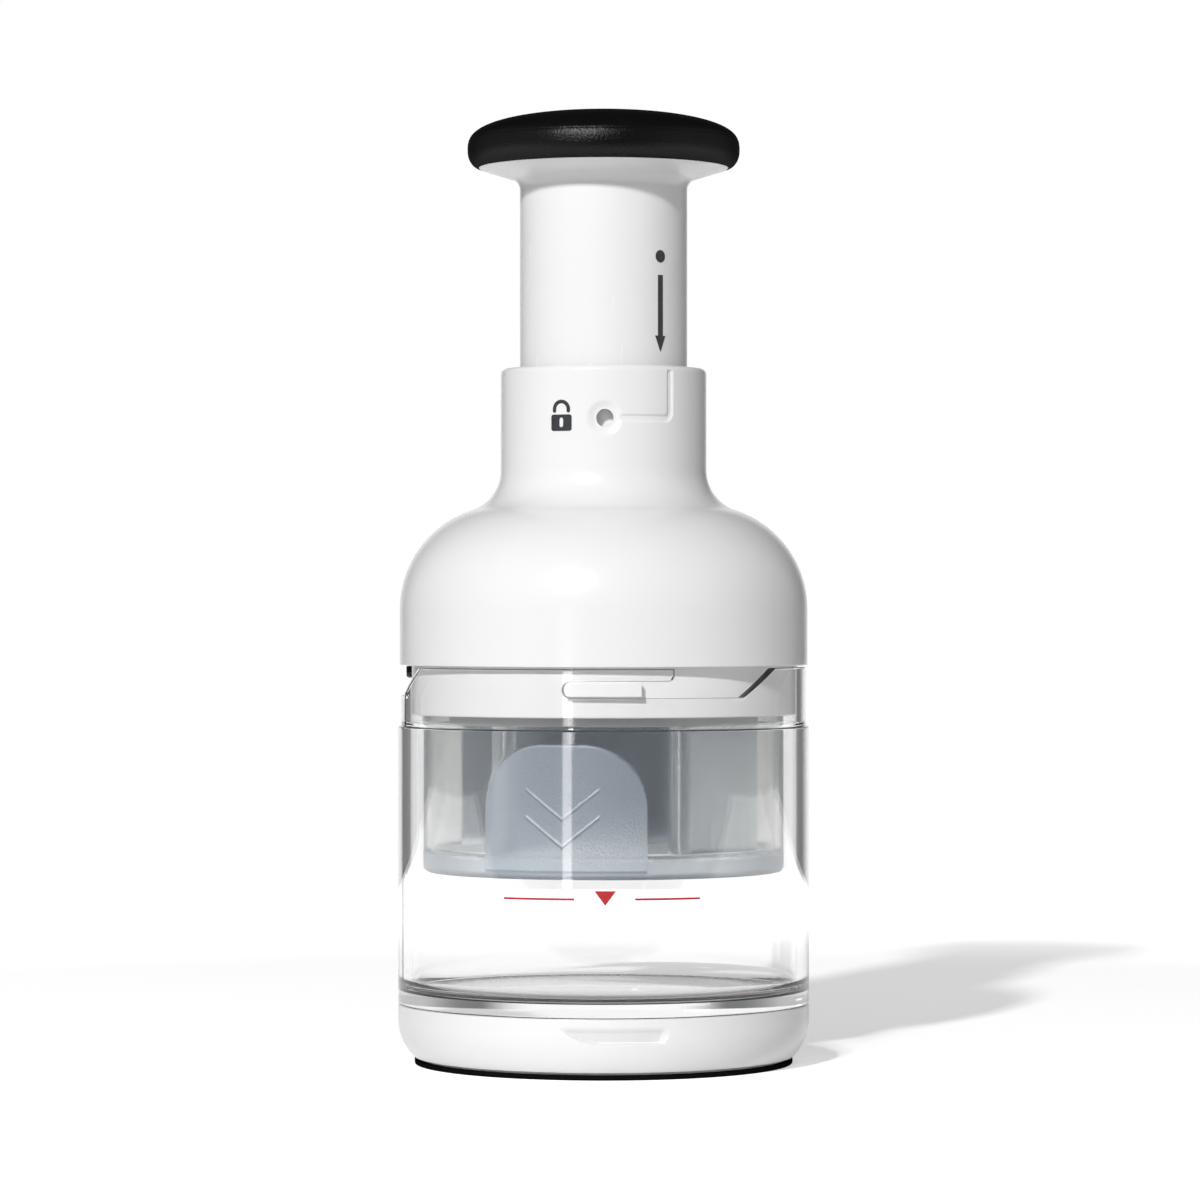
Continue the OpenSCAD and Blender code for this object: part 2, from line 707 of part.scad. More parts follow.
module plunger_tube() {
    end_a = 90 + flange_slope;
    centre_r = tube_r + flange_fillet;
    slope_w = flange_r - centre_r - flange_fillet * cos(end_a);
    centre_z = flange_z - slope_w * tan(flange_slope) - flange_fillet * sin(end_a);
    color([0.95, 0.95, 0.95]) {
        turned(concat([[tube_in, tube_z], [tube_r, tube_z]],
            arc(centre_r, centre_z, flange_fillet, 180, end_a, 8),
            [[flange_r, flange_z], [flange_r, flange_top], [tube_in, flange_top]]));
        for (turn = [0, 180]) rotate([0, 0, turn])
            sector(tube_r - 0.5, key_r, key_z, key_z + key_h,
                   key_a - key_span_a / 2, key_a + key_span_a / 2);
    }
}

// The dot that shows in the lock window, and the arrow below it
module travel_marks() {
    head_l = 4;
    head_w = 3.4;
    stem_w = 1.6;
    color([0.15, 0.17, 0.2]) {
        wrapped(mark_a, dot_z, tube_r, tube_r + ink) circle(d = dot_d);
        wrapped(mark_a, arrow_z, tube_r, tube_r + ink) {
            translate([-stem_w / 2, head_l - arrow_l]) square([stem_w, arrow_l - head_l]);
            polygon([[0, -arrow_l], [head_w / 2, head_l - arrow_l], [-head_w / 2, head_l - arrow_l]]);
        }
    }
}

module knob_cap() {
    color([0.93, 0.93, 0.93]) difference() {
        union() {
            cylinder_between(tube_in - seat, flange_top - cap_plug_h, flange_top);
            cylinder_between(cap_r, flange_top, flange_top + cap_h);
        }
        cylinder_between(sleeve_r + seat, flange_top - cap_plug_h - through, sleeve_top + seat);
    }
}

// Outline of the cushion's crown at radius r
function crown(r) = cushion_mid_z + crown_h * pow(max(0, 1 - pow(r / (knob_d / 2), 2)), 1 / 3);

module knob_cushion() {
    edge = knob_d / 2;
    lip_r = flange_r - 0.4;
    color([0.05, 0.05, 0.05]) difference() {
        turned(concat([[0, flange_z], [lip_r, flange_z]],
            [for (i = [1:6]) let (a = -90 + 15 * i)
                [lip_r + (edge - lip_r) * cos(a), cushion_mid_z + lip_h * sin(a)]],
            [for (i = [1:crown_steps])
                let (r = i == crown_steps ? 0 : edge * cos(90 * i / crown_steps)) [r, crown(r)]]));
        cylinder_between(flange_r + seat, flange_z - through, flange_top);
        cylinder_between(cap_r + seat, flange_top - through, flange_top + cap_h + seat);
    }
}

// --- drive ---------------------------------------------------------------------------

// A slanted slot lets the cross pin climb and turn in the sleeve
module pin_slots() {
    steps = 8;
    for (i = [0:steps])
        rotate([0, 0, pin_a + index_turn_a * i / steps])
            translate([0, 0, pin_z + index_lift * i / steps]) rotate([90, 0, 0])
                cylinder(d = pin_d + 2 * pin_play, h = 2 * pin_reach + 2, center = true);
}

module drive_sleeve() {
    color([0.8, 0.81, 0.82]) difference() {
        cylinder_between(sleeve_r, sleeve_z, sleeve_top);
        cylinder_between(sleeve_in, sleeve_z - through, web_z);
        cylinder_between(sleeve_in, web_z + web_h, sleeve_top + through);
        cylinder_between(washer_bore / 2, web_z - through, sleeve_top + through);
        pin_slots();
    }
}

module shaft_bush() {
    color([0.3, 0.32, 0.35])
        tube(shaft_d / 2 + shaft_gap, sleeve_in - seat, sleeve_z + gap, sleeve_z + gap + bush_block_h);
}

module index_spring() {
    color([0.7, 0.71, 0.73]) translate([0, 0, index_spring_z])
        coil(index_spring_d, index_spring_wire, index_spring_turns, index_spring_l);
}

module thrust_washer() {
    color([0.8, 0.7, 0.4]) difference() {
        cylinder_between(sleeve_in - gap, washer_z, washer_z + washer_h);
        cylinder_between(washer_bore / 2, washer_z - through, washer_z + washer_h + through);
    }
}

module shaft() {
    color([0.78, 0.79, 0.8]) difference() {
        cylinder_between(shaft_d / 2, shaft_foot_z, shaft_top);
        rotate([0, 0, pin_a]) translate([0, 0, pin_z]) rotate([90, 0, 0])
            cylinder(d = pin_d + seat, h = shaft_d + 2 * through, center = true);
    }
}

module cross_pin() {
    color([0.7, 0.71, 0.73]) rotate([0, 0, pin_a]) translate([0, 0, pin_z]) rotate([90, 0, 0])
        cylinder(d = pin_d, h = 2 * pin_reach, center = true);
}

module ratchet_wheel() {
    tip = ratchet_d / 2;
    color([0.85, 0.86, 0.87]) translate([0, 0, wheel_z]) difference() {
        linear_extrude(height = wheel_h) polygon([for (i = [0:ratchet_teeth - 1], side = [0, 1])
            let (r = side == 0 ? wheel_root : tip, a = tooth_a * (i + side * 0.93))
            [r * cos(a), r * sin(a)]]);
        translate([0, 0, -through]) cylinder(d = shaft_d + 2 * seat, h = wheel_h + 2 * through);
    }
}

// --- blade ---------------------------------------------------------------------------

// The blade strip seen from above: it runs from its left end round four bends to its right
// end. Each stop is [x, distance to the front, bend radius, +1 for a left or -1 for a right turn].
stops = [[-tip_r * sin(tip_a), -tip_r * cos(tip_a), 0, 1],
         [-leg_x, -bend_y, bend_r, 1], [-leg_x, bend_y, bend_r, -1],
         [leg_x, -bend_y, bend_r, 1], [leg_x, bend_y, bend_r, -1],
         [tip_r * sin(tip_a), tip_r * cos(tip_a), 0, 1]];

// Heading of the straight stretch after stop i, a common tangent of its two bends
function heading(i) =
    let (a = stops[i], b = stops[i + 1], dx = b[0] - a[0], dy = b[1] - a[1])
    atan2(dy, dx) - asin((b[3] * b[2] - a[3] * a[2]) / norm([dx, dy]));

function beside(stop, a, off) =
    let (w = off - stop[3] * stop[2]) [stop[0] - w * sin(a), -(stop[1] + w * cos(a))];

// One side of the strip, off millimetres to the left of its middle line
function strip_side(off, steps = 8) = concat(
    [beside(stops[0], heading(0), off)],
    [for (i = [1:len(stops) - 2], k = [0:steps])
        let (h1 = heading(i - 1), turn = stops[i][3],
             swing = ((heading(i) - h1) * turn % 360 + 360) % 360)
        beside(stops[i], h1 + turn * swing * k / steps, off)],
    [beside(stops[len(stops) - 1], heading(len(stops) - 2), off)]);

module strip(t, z1, z2) {
    rotate([0, 0, blade_rest_a]) translate([0, 0, z1]) linear_extrude(height = z2 - z1)
        polygon(concat(strip_side(t / 2), reversed(strip_side(-t / 2))));
}

module chopping_blade() {
    color([0.74, 0.76, 0.78]) {
        strip(blade_t, blade_z + edge_h, carrier_z + blade_seat);
        strip(edge_t, blade_z, blade_z + edge_h + 0.2);
    }
}

module blade_carrier() {
    color([0.92, 0.92, 0.93]) difference() {
        union() {
            cylinder_between(carrier_r, carrier_z, carrier_top);
            tube(hub_in, hub_r, carrier_top - 0.5, cap_z);
        }
        cylinder_between(shaft_d / 2 + shaft_gap, carrier_z - through, carrier_top + through);
        strip(blade_t + 2 * seat, carrier_z - through, carrier_z + blade_seat + seat);
    }
}

// Two sprung fingers that let the wheel turn one way
module pawl_ring() {
    function at(r, a) = [r * cos(a), r * sin(a)];
    low = wheel_z + 0.6;
    color([0.8, 0.55, 0.2]) {
        tube(hub_in - 0.6, hub_in - seat, low, low + wheel_h - 1.2);
        for (turn = [0, 180]) rotate([0, 0, turn]) translate([0, 0, low])
            linear_extrude(height = wheel_h - 1.2)
                polygon([at(wheel_root + finger_t / 2, finger_tip_a),
                         at(wheel_root + 1.5 * finger_t, finger_mid_a),
                         at(hub_in - 0.3, (finger_mid_a + finger_end_a) / 2 + 2),
                         at(hub_in - 0.2, finger_end_a), at(hub_in - 0.45, finger_mid_a),
                         at(wheel_root + finger_t, finger_tip_a + 1.5)]);
    }
}

module hub_cap() {
    color([0.92, 0.92, 0.93]) tube(shaft_d / 2 + gap, hub_r, cap_z, cap_z + hub_cap_h);
}

foot_ring();
base_shell();
cup();
fill_mark();
housing();
guide_bush();
lock_ring();
lock_icon();
spring_plate();
spring_seat();
bumper();
return_spring();
blade_guard();
top_spring_seat();
plunger_tube();
travel_marks();
knob_cap();
knob_cushion();
drive_sleeve();
shaft_bush();
index_spring();
thrust_washer();
shaft();
cross_pin();
ratchet_wheel();
blade_carrier();
chopping_blade();
pawl_ring();
hub_cap();
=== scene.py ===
# %% [markdown]
# # A plunger food chopper
#
# A clear cup stands on a white base. A white head locks on the cup, and a push on the black
# knob drives a zig-zag blade through the food. The moving model is packed already: it gives
# each piece its place and its joints. This notebook gives every piece that shows a smooth
# surface, worked out with numpy, and every piece a finish.
#
# The imported model comes first. Its pieces stay in the scene, and their boxes give the
# sizes of the new pieces.

# %% Load the imported model
import math
import bmesh
import bpy
import numpy as np
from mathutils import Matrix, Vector


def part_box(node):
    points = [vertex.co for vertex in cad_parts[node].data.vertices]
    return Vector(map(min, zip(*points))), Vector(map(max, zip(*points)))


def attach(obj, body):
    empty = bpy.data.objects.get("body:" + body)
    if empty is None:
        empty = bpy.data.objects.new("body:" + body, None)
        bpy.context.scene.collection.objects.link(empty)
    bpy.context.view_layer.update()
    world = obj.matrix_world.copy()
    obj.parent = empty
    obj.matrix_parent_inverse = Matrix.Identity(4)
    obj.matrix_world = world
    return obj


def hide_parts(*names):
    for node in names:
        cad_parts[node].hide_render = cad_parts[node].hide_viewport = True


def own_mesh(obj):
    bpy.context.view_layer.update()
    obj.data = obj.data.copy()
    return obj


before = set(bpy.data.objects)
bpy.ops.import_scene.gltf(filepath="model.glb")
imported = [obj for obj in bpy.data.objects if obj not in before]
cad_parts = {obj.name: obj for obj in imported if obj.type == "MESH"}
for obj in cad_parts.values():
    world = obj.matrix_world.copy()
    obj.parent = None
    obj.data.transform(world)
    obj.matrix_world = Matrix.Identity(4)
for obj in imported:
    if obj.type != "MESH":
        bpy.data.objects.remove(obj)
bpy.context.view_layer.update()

MM = 0.001


def size(node):
    """Radius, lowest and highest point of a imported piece, in millimetres."""
    low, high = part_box(node)
    return max(high.x, high.y, -low.x, -low.y) / MM, low.z / MM, high.z / MM


# %% [markdown]
# ## The camera
#
# How far the rims' curves bow in a picture tells how high the eye stands and how far away.
# Here the camera is level, a little over a metre away, at half the chopper's height. A long
# lens keeps the sides nearly upright.

# %% Camera
EYE_DISTANCE = 1.206
EYE_HEIGHT = 0.1155
EYE_ASIDE = -0.0009
LENS = 144.75

camera = bpy.data.objects.new("camera", bpy.data.cameras.new("camera"))
bpy.context.collection.objects.link(camera)
bpy.context.scene.camera = camera
camera.location = (EYE_ASIDE, -EYE_DISTANCE, EYE_HEIGHT)
camera.rotation_euler = (math.pi / 2, 0, 0)
camera.data.lens = LENS
camera.data.sensor_width = 36
print("camera at", [round(v, 4) for v in camera.location])

# %% [markdown]
# ## Shader maths
#
# A material is a formula over the surface. Written as nodes it is long, so a small class
# wraps a socket and turns `a * b + 1` into Math nodes. One method makes every other node:
# it sets the node's own settings first, and then the values or links of its sockets.


# %% A socket that can be used in a formula
class Value:
    """A socket in a formula: + - * with numbers or other values make Math nodes."""

    def __init__(self, formulas, socket):
        self.formulas = formulas
        self.socket = socket

    def _math(self, operation, *others):
        return self.formulas.node("ShaderNodeMath", {"operation": operation}, self, *others)

    def __add__(self, other):
        return self._math("ADD", other)

    def __mul__(self, other):
        return self._math("MULTIPLY", other)

    def __sub__(self, other):
        return self._math("SUBTRACT", other)

    def __rsub__(self, other):
        return self.formulas.node("ShaderNodeMath", {"operation": "SUBTRACT"}, other, self)

    def smaller(self, other):
        return self._math("MINIMUM", other)

    def larger(self, other):
        return self._math("MAXIMUM", other)

    def between(self, low, high):
        """0 below low, 1 above high, and a smooth step from one to the other."""
        settings = {"interpolation_type": "SMOOTHSTEP"}
        return self.formulas.node("ShaderNodeMapRange", settings, self, low, high)


class Formulas:
    """A node tree to write formulas in."""

    def __init__(self, tree):
        self.tree = tree

    def node(self, kind, settings, *values, out=None, **named):
        """Any node: its settings, its sockets in order or by name, and the output wanted,
        which is the first one if it has no name here."""
        made = self.tree.nodes.new(kind)
        for label, setting in settings.items():
            setattr(made, label, setting)
        for socket, value in zip([s for s in made.inputs if s.enabled], values):
            self.put(socket, value)
        self.feed_to(made, named)
        return Value(self, next(s for s in made.outputs if s.enabled and out in (None, s.name)))

    def put(self, socket, value):
        """Links a value to a socket, or sets the socket to a constant."""
        if isinstance(value, Value):
            self.tree.links.new(value.socket, socket)
        else:
            socket.default_value = value

    def feed_to(self, node, sockets):
        """Puts each value into the node's socket of that name."""
        for label, value in sockets.items():
            self.put(node.inputs[label.replace("_", " ")], value)

    def parts(self, vector):
        """The x, y and z of a vector, as three values."""
        split = self.node("ShaderNodeSeparateXYZ", {}, vector).socket.node
        return [Value(self, socket) for socket in split.outputs]

    def path(self, label):
        """What the Light Path node says of the ray that is being followed."""
        return self.node("ShaderNodeLightPath", {}, out=label)


class Finish(Formulas):
    """A material, with one Principled shader and the formulas that feed it."""

    def __init__(self, name, **constants):
        self.material = bpy.data.materials.new(name)
        self.material.use_nodes = True
        super().__init__(self.material.node_tree)
        self.shader = self.tree.nodes["Principled BSDF"]
        self.output = self.tree.nodes["Material Output"]
        self.feed(**constants)
        self.place = self.node("ShaderNodeTexCoord", {}, out="Object")

    def feed(self, **sockets):
        """Puts formulas and constants into the main shader's sockets."""
        self.feed_to(self.shader, sockets)

    def other_shader(self, kind, **sockets):
        """Another shader, to be mixed with the main one."""
        made = self.tree.nodes.new(kind)
        self.feed_to(made, sockets)
        return made

    def mark(self, label):
        """A value that the mesh holds for each of its points."""
        return self.node("ShaderNodeAttribute", {"attribute_name": label}, out="Fac")

    def mix_shaders(self, share, first, second):
        """The first shader, or that share of the second. It becomes the surface."""
        mixed = self.tree.nodes.new("ShaderNodeMixShader")
        self.put(mixed.inputs[0], share)
        self.tree.links.new(first.outputs[0], mixed.inputs[1])
        self.tree.links.new(second.outputs[0], mixed.inputs[2])
        self.tree.links.new(mixed.outputs[0], self.output.inputs["Surface"])
        return mixed

    def noise(self, per_metre, detail=3.0, roughness=0.55, stretch=(1, 1, 1)):
        """Cloudy noise from 0 to 1 in space, with that many lumps in a metre."""
        place = self.node("ShaderNodeVectorMath", {"operation": "MULTIPLY"}, self.place, stretch)
        return self.node("ShaderNodeTexNoise", {}, place, per_metre, detail, roughness, out="Fac")

    def mix(self, share, first, second):
        """A colour that goes from first to second as share goes from 0 to 1."""
        return self.node("ShaderNodeMix", {"data_type": "RGBA"}, share, first, second, out="Result")

    def bump(self, height, depth):
        """Tilts the surface's normal as if height, from 0 to 1, stood depth metres proud."""
        return self.node("ShaderNodeBump", {}, Height=height, Distance=depth, Strength=1.0)

    def axes(self):
        """The x, y and z of the point, as three values."""
        return self.parts(self.place)


finishes = {}


def dress(make, *rows):
    """Makes one finish for each row: its name and the other values that its maker takes."""
    for name, *values in rows:
        finishes[name] = make(name, *values)
    print("finishes:", [name for name, *_ in rows])


# %% [markdown]
# ## White plastic
#
# The head, the plunger and the base are injection moulded in glossy white. Such plastic is
# never quite flat: it has a faint orange peel from the mould, its gloss varies a little, and
# it picks up the finest hairlines. All three are far too small to be modelled, so noise
# tilts the normal by a few micrometres and moves the roughness by a few hundredths. The
# bushes inside are dark acetal, moulded in the same way.


# %% Moulded plastics
def white_plastic(name, colour, gloss_from, gloss_to):
    """Moulded plastic: its roughness wanders between two values over a few centimetres."""
    made = Finish(name, Specular_IOR_Level=0.5, IOR=1.5)
    cloud = made.noise(38, detail=4)
    hairs = made.noise(900, detail=2, stretch=(1, 1, 0.06)).between(0.62, 0.7)
    peel = made.noise(260, detail=2)
    made.feed(
        Base_Color=made.mix(cloud, (*colour, 1), (*(c * 0.985 for c in colour), 1)),
        Roughness=cloud * (gloss_to - gloss_from) + gloss_from + hairs * 0.03,
        Normal=made.bump(peel, 0.000006),
    )
    return made.material


dress(white_plastic,
      ("head_plastic", (0.825, 0.82, 0.822), 0.16, 0.24),
      ("tube_plastic", (0.825, 0.818, 0.82), 0.2, 0.28),
      ("base_plastic", (0.84, 0.832, 0.835), 0.18, 0.26),
      ("inner_plastic", (0.8, 0.8, 0.79), 0.36, 0.46),
      ("acetal", (0.16, 0.165, 0.17), 0.35, 0.45))

# %% [markdown]
# ## Rubber
#
# The knob is covered in soft-touch rubber: nearly black, with a broad dull sheen and a grain
# as fine as skin. A second shader gives the sheen, because a glossy film would shine far too
# much at the knob's edges. The foot and the stop inside are plainer.


# %% Black rubber
def rubber(name, colour, sheen, shine, grain):
    """Rubber: a dull black under a weak sheen that is as weak at its edges, with fine grain
    in the normal, and patches where hands have polished it."""
    made = Finish(name, Specular_IOR_Level=0.0)
    pores = made.noise(1700, detail=3, roughness=0.7)
    touched = made.noise(45, detail=3)
    worn = made.mix(touched.between(0.35, 0.75), (*colour, 1), (*(c * 1.35 for c in colour), 1))
    normal = made.bump(pores, grain)
    made.feed(Base_Color=worn, Roughness=0.9, Normal=normal)
    gloss = made.other_shader("ShaderNodeBsdfAnisotropic", Normal=normal,
                              Roughness=touched * 0.1 + shine + pores * 0.06)
    made.mix_shaders(sheen, made.shader, gloss)
    return made.material


dress(rubber,
      ("knob_rubber", (0.001, 0.001, 0.001), 0.024, 0.19, 0.00012),
      ("foot_rubber", (0.002, 0.002, 0.002), 0.004, 0.5, 0.00004),
      ("bumper_rubber", (0.05, 0.05, 0.053), 0.02, 0.5, 0.00004))

# %% [markdown]
# ## Metal
#
# The blade is bright cold-rolled strip: it mirrors what is round it, a little blurred along
# the rolling direction. The shaft and the seats are ground or drawn steel, and the sleeve is
# anodised aluminium.


# %% Metals
def metal(name, colour, dull_from, dull_to, stretch):
    """Metal: streaks that run one way move the roughness and tilt the normal slightly."""
    made = Finish(name, Metallic=1.0)
    streaks = made.noise(700, detail=3, stretch=stretch)
    cloud = made.noise(60, detail=3)
    darker = (*(c * 0.9 for c in colour), 1)
    made.feed(
        Base_Color=made.mix(streaks.between(0.3, 0.7), (*colour, 1), darker),
        Roughness=streaks * (dull_to - dull_from) + dull_from + cloud * 0.05,
        Normal=made.bump(streaks, 0.0000015),
    )
    return made.material


dress(metal,
      ("blade_steel", (0.62, 0.65, 0.69), 0.14, 0.24, (1, 1, 0.03)),
      ("spring_steel", (0.6, 0.61, 0.63), 0.2, 0.34, (1, 1, 1)),
      ("turned_steel", (0.68, 0.69, 0.7), 0.18, 0.3, (0.1, 0.1, 1)),
      ("sleeve_alloy", (0.75, 0.76, 0.77), 0.3, 0.42, (0.2, 0.2, 1)))

# %% [markdown]
# ## Printing
#
# The marks are pad printed: a film of dull ink whose cover is not quite even.


# %% Printed marks
def ink(name, colour):
    """Ink: thin cover lets a little of the white below through."""
    made = Finish(name)
    cover = made.noise(1500, detail=2).between(0.2, 0.8)
    thin = (*(c * 0.92 + 0.02 for c in colour), 1)
    made.feed(Base_Color=made.mix(cover, thin, (*colour, 1)), Roughness=cover * 0.1 + 0.38)
    return made.material


dress(ink, ("mark_ink", (0.012, 0.014, 0.018)), ("fill_ink", (0.46, 0.004, 0.008)))

# %% [markdown]
# ## Clear plastic
#
# The cup and the guard are solid clear plastic, so they are meshes with a real wall, and
# light bends at both faces. A renderer finds it hard to carry lamp light through bent glass,
# so for shadows and for light that has already bounced off something dull the wall is a
# thin grey film instead. That keeps the inside lit and the picture free of grain. The cup's
# film is darker down at its thick floor. The edges of the cup's slots, its rim and the step
# at the foot of its band, which a value on the mesh marks, are painted nearly black: a
# painted dark line in place of the shade along a clear edge. The guard's pads and lip are
# frosted: a dull haze is mixed in.


# %% Clear plastic
CUP_THICK_BELOW = (0.0185, 0.0235)
LIP_FROST_BELOW = (0.0515, 0.0545)


class ClearPlastic(Finish):
    """Clear plastic for sight and gloss, and thin films for shadow and diffuse light."""

    def __init__(self, name):
        super().__init__(name, Transmission_Weight=1.0, IOR=1.49)
        self.height = self.axes()[2]

    def film(self, *colour):
        """A film of that colour, which doesn't bend the light."""
        return self.other_shader("ShaderNodeBsdfTransparent", Color=(*colour, 1))

    def settle(self, seen, film):
        """Says what sight and gloss meet, and what shadow and diffuse light meet instead."""
        unseen = self.path("Is Shadow Ray").larger(self.path("Is Diffuse Ray"))
        self.mix_shaders(unseen, seen, film)
        return self.material


def cup_plastic(name):
    """The cup's plastic, with fine upright scratches, and a painted dark line of shade on its
    marked edges.
    """
    made = ClearPlastic(name)
    scratches = made.noise(1200, detail=2, stretch=(1, 1, 0.05)).between(0.63, 0.72)
    made.feed(
        # Painted shade: where the mesh marks an edge, the base colour is nearly black, a painted
        # dark line.
        Base_Color=made.mix(made.mark("edge"), (0.998, 0.999, 1, 1), (0.005, 0.006, 0.009, 1)),
        Roughness=scratches * 0.03 + 0.015,
    )
    low_down = 1 - made.height.between(*CUP_THICK_BELOW)
    film = made.mix_shaders(low_down, made.film(0.99, 0.99, 0.99), made.film(0.72, 0.695, 0.7))
    return made.settle(made.shader, film)


def guard_plastic(name):
    """The guard's faintly smoked plastic, frosted on its pads and its lip."""
    made = ClearPlastic(name)
    in_pad = made.mark("pad")
    grain = made.noise(1900, detail=3, roughness=0.6)
    lip_frost = 1 - made.height.between(*LIP_FROST_BELOW)
    wisps = made.noise(90, detail=3)
    made.feed(
        Base_Color=(0.78, 0.775, 0.75, 1),
        Roughness=(in_pad * 0.3 + lip_frost * 0.26 + wisps * 0.05 + 0.03).smaller(0.5),
        Normal=made.bump(grain * in_pad, 0.00012),
    )
    haze = made.other_shader("ShaderNodeBsdfDiffuse", Color=(0.46, 0.53, 0.61, 1))
    hazy = (in_pad * (grain * 0.3 + 0.14) + lip_frost * 0.22 + wisps * 0.05 + 0.06).smaller(0.5)
    return made.settle(made.mix_shaders(hazy, made.shader, haze), made.film(0.92, 0.92, 0.92))


dress(cup_plastic, ("cup_clear",))
dress(guard_plastic, ("guard_clear",))

# %% [markdown]
# ## Surfaces
#
# Nearly all the pieces are turned shapes: a profile of radius and height, carried round the
# axis. Angles are counted from the front, towards +X. Two skins, one outside and one inside,
# share the same grid, so a hole is made by leaving cells out of both and walling its edge.


# %% Points and faces
def arc(r, z, radius, start, end, steps=8):
    """Points [r, z] on an arc round (r, z), from angle start to end in degrees."""
    a = np.radians(np.linspace(start, end, steps + 1))
    return np.stack([r + radius * np.cos(a), z + radius * np.sin(a)], 1)


def joined(*stretches):
    """One profile out of single points and runs of points."""
    return np.concatenate([np.atleast_2d(np.asarray(s, float)) for s in stretches])


def divided(profile, rows):
    """The same profile with its longest stretches halved until it has that many points."""
    while len(profile) < rows:
        lengths = np.linalg.norm(np.diff(profile, axis=0), axis=1)
        i = int(np.argmax(lengths))
        profile = np.insert(profile, i + 1, (profile[i] + profile[i + 1]) / 2, axis=0)
    return profile


def around(angle, r, z):
    """Radius, angle from the front and height to x, y and z: x is r sin a and y is -r cos a."""
    a = np.radians(angle)
    return np.stack(np.broadcast_arrays(r * np.sin(a), -r * np.cos(a), z + 0 * a), -1)


def steps_round(*spans):
    """Angles from spans (start, end, count), each leaving its own end out."""
    return np.concatenate([np.linspace(a, b, n, endpoint=False) for a, b, n in spans])


def cells(i, j, rows, columns):
    """The four corners of grid cells (i, j), on a grid that closes on itself both ways."""
    k = (j + 1) % columns
    n = (i + 1) % rows
    return np.stack([i * columns + j, i * columns + k, n * columns + k, n * columns + j], 1)


def all_cells(rows, columns, closed=False):
    """Every cell of a grid that closes sideways; closed joins its last row to its first."""
    return cells(*np.nonzero(np.ones((rows - 1 + closed, columns), bool)), rows, columns)


print("surface helpers ready")


# %% From grids to pieces
def piece(name, points, faces, body, slot, stands_for=(), sharp=32, marks=None):
    """A smooth piece from points in millimetres: doubles merge, and faces turn outwards.
    marks holds named values, one for each point, that a finish can read. A corner's shading
    follows its largest face, so that a long flat wall beside a fillet stays flat to the eye
    and doesn't bend the light that passes through it."""
    mesh = bpy.data.meshes.new(name)
    corners = np.asarray(faces, np.int32)
    mesh.vertices.add(points.size // 3)
    mesh.vertices.foreach_set("co", (np.asarray(points, float) * MM).ravel())
    mesh.loops.add(corners.size)
    mesh.loops.foreach_set("vertex_index", corners.ravel())
    mesh.polygons.add(len(corners))
    mesh.polygons.foreach_set("loop_start", np.arange(0, corners.size, corners.shape[1]))
    mesh.update(calc_edges=True)
    for label, values in (marks or {}).items():
        mesh.attributes.new(label, "FLOAT", "POINT").data.foreach_set("value", values)
    bm = bmesh.new()
    bm.from_mesh(mesh)
    bmesh.ops.remove_doubles(bm, verts=bm.verts, dist=1e-7)
    bmesh.ops.dissolve_degenerate(bm, edges=bm.edges, dist=1e-8)
    bmesh.ops.delete(bm, geom=[e for e in bm.edges if not e.link_faces], context="EDGES")
    bmesh.ops.recalc_face_normals(bm, faces=bm.faces)
    loose = sum(not e.is_manifold for e in bm.edges)
    bm.to_mesh(mesh)
    bm.free()
    mesh.shade_smooth()
    mesh.set_sharp_from_angle(angle=math.radians(sharp))
    made = bpy.data.objects.new(name, mesh)
    bpy.context.collection.objects.link(made)
    mesh.materials.append(finishes[slot])
    even = made.modifiers.new("even shading", "WEIGHTED_NORMAL")
    even.mode = "FACE_AREA"
    even.keep_sharp = True
    graph = bpy.context.evaluated_depsgraph_get()
    made.data = bpy.data.meshes.new_from_object(made.evaluated_get(graph),
                                                preserve_all_data_layers=True, depsgraph=graph)
    made.modifiers.clear()
    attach(made, body)
    if stands_for:
        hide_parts(*stands_for)
    print(f"{name}: {len(mesh.polygons)} faces, {loose} edges without exactly two faces")
    return made


def turned(profile, columns=192, closed=True):
    """Points and faces of a profile carried round the axis; closed joins its two ends."""
    angles = np.linspace(0, 360, columns, endpoint=False)
    grid = around(angles, profile[:, :1], profile[:, 1:])
    return grid.reshape(-1, 3), all_cells(len(profile), columns, closed)


def two_skins(outer, inner, keep, low=True, high=True):
    """A wall between two grids of points with the same rows and columns. Cells that keep
    leaves out are holes. low and high say whether the first and last rows are walled too."""
    rows, columns = outer.shape[:2]
    shift = rows * columns
    skin = cells(*np.nonzero(keep), rows, columns)
    faces = [skin, skin[:, ::-1] + shift]
    padded = np.vstack([np.full((1, columns), not low), keep, np.full((1, columns), not high)])
    beside = {(0, 1): padded[:-2], (2, 3): padded[2:],
              (3, 0): np.roll(keep, 1, 1), (1, 2): np.roll(keep, -1, 1)}
    for (a, b), neighbour in beside.items():
        quad = cells(*np.nonzero(keep & ~neighbour), rows, columns)
        faces.append(np.stack([quad[:, b], quad[:, a], quad[:, a] + shift, quad[:, b] + shift], 1))
    return np.concatenate([outer, inner]).reshape(-1, 3), np.concatenate(faces)


def together(*parts):
    """Several (points, faces) as one."""
    shifts = np.cumsum([0] + [len(p) for p, _ in parts[:-1]])
    points = np.concatenate([p for p, _ in parts])
    return points, np.concatenate([f + s for (_, f), s in zip(parts, shifts)])


print("piece makers ready")

# %% [markdown]
# ## The base and its foot
#
# The base is a shallow dish turned upside down: a flat plate that the cup stands on, a
# channel for the cup's plug, and a side that curves in to the foot. At the front a thumb
# finds a notch. Its face leans inwards from top to bottom and ends in a crisp ledge, so the
# notch is not cut: the side's points are drawn in by a depth that grows downwards and drops
# to nothing past the ledge.

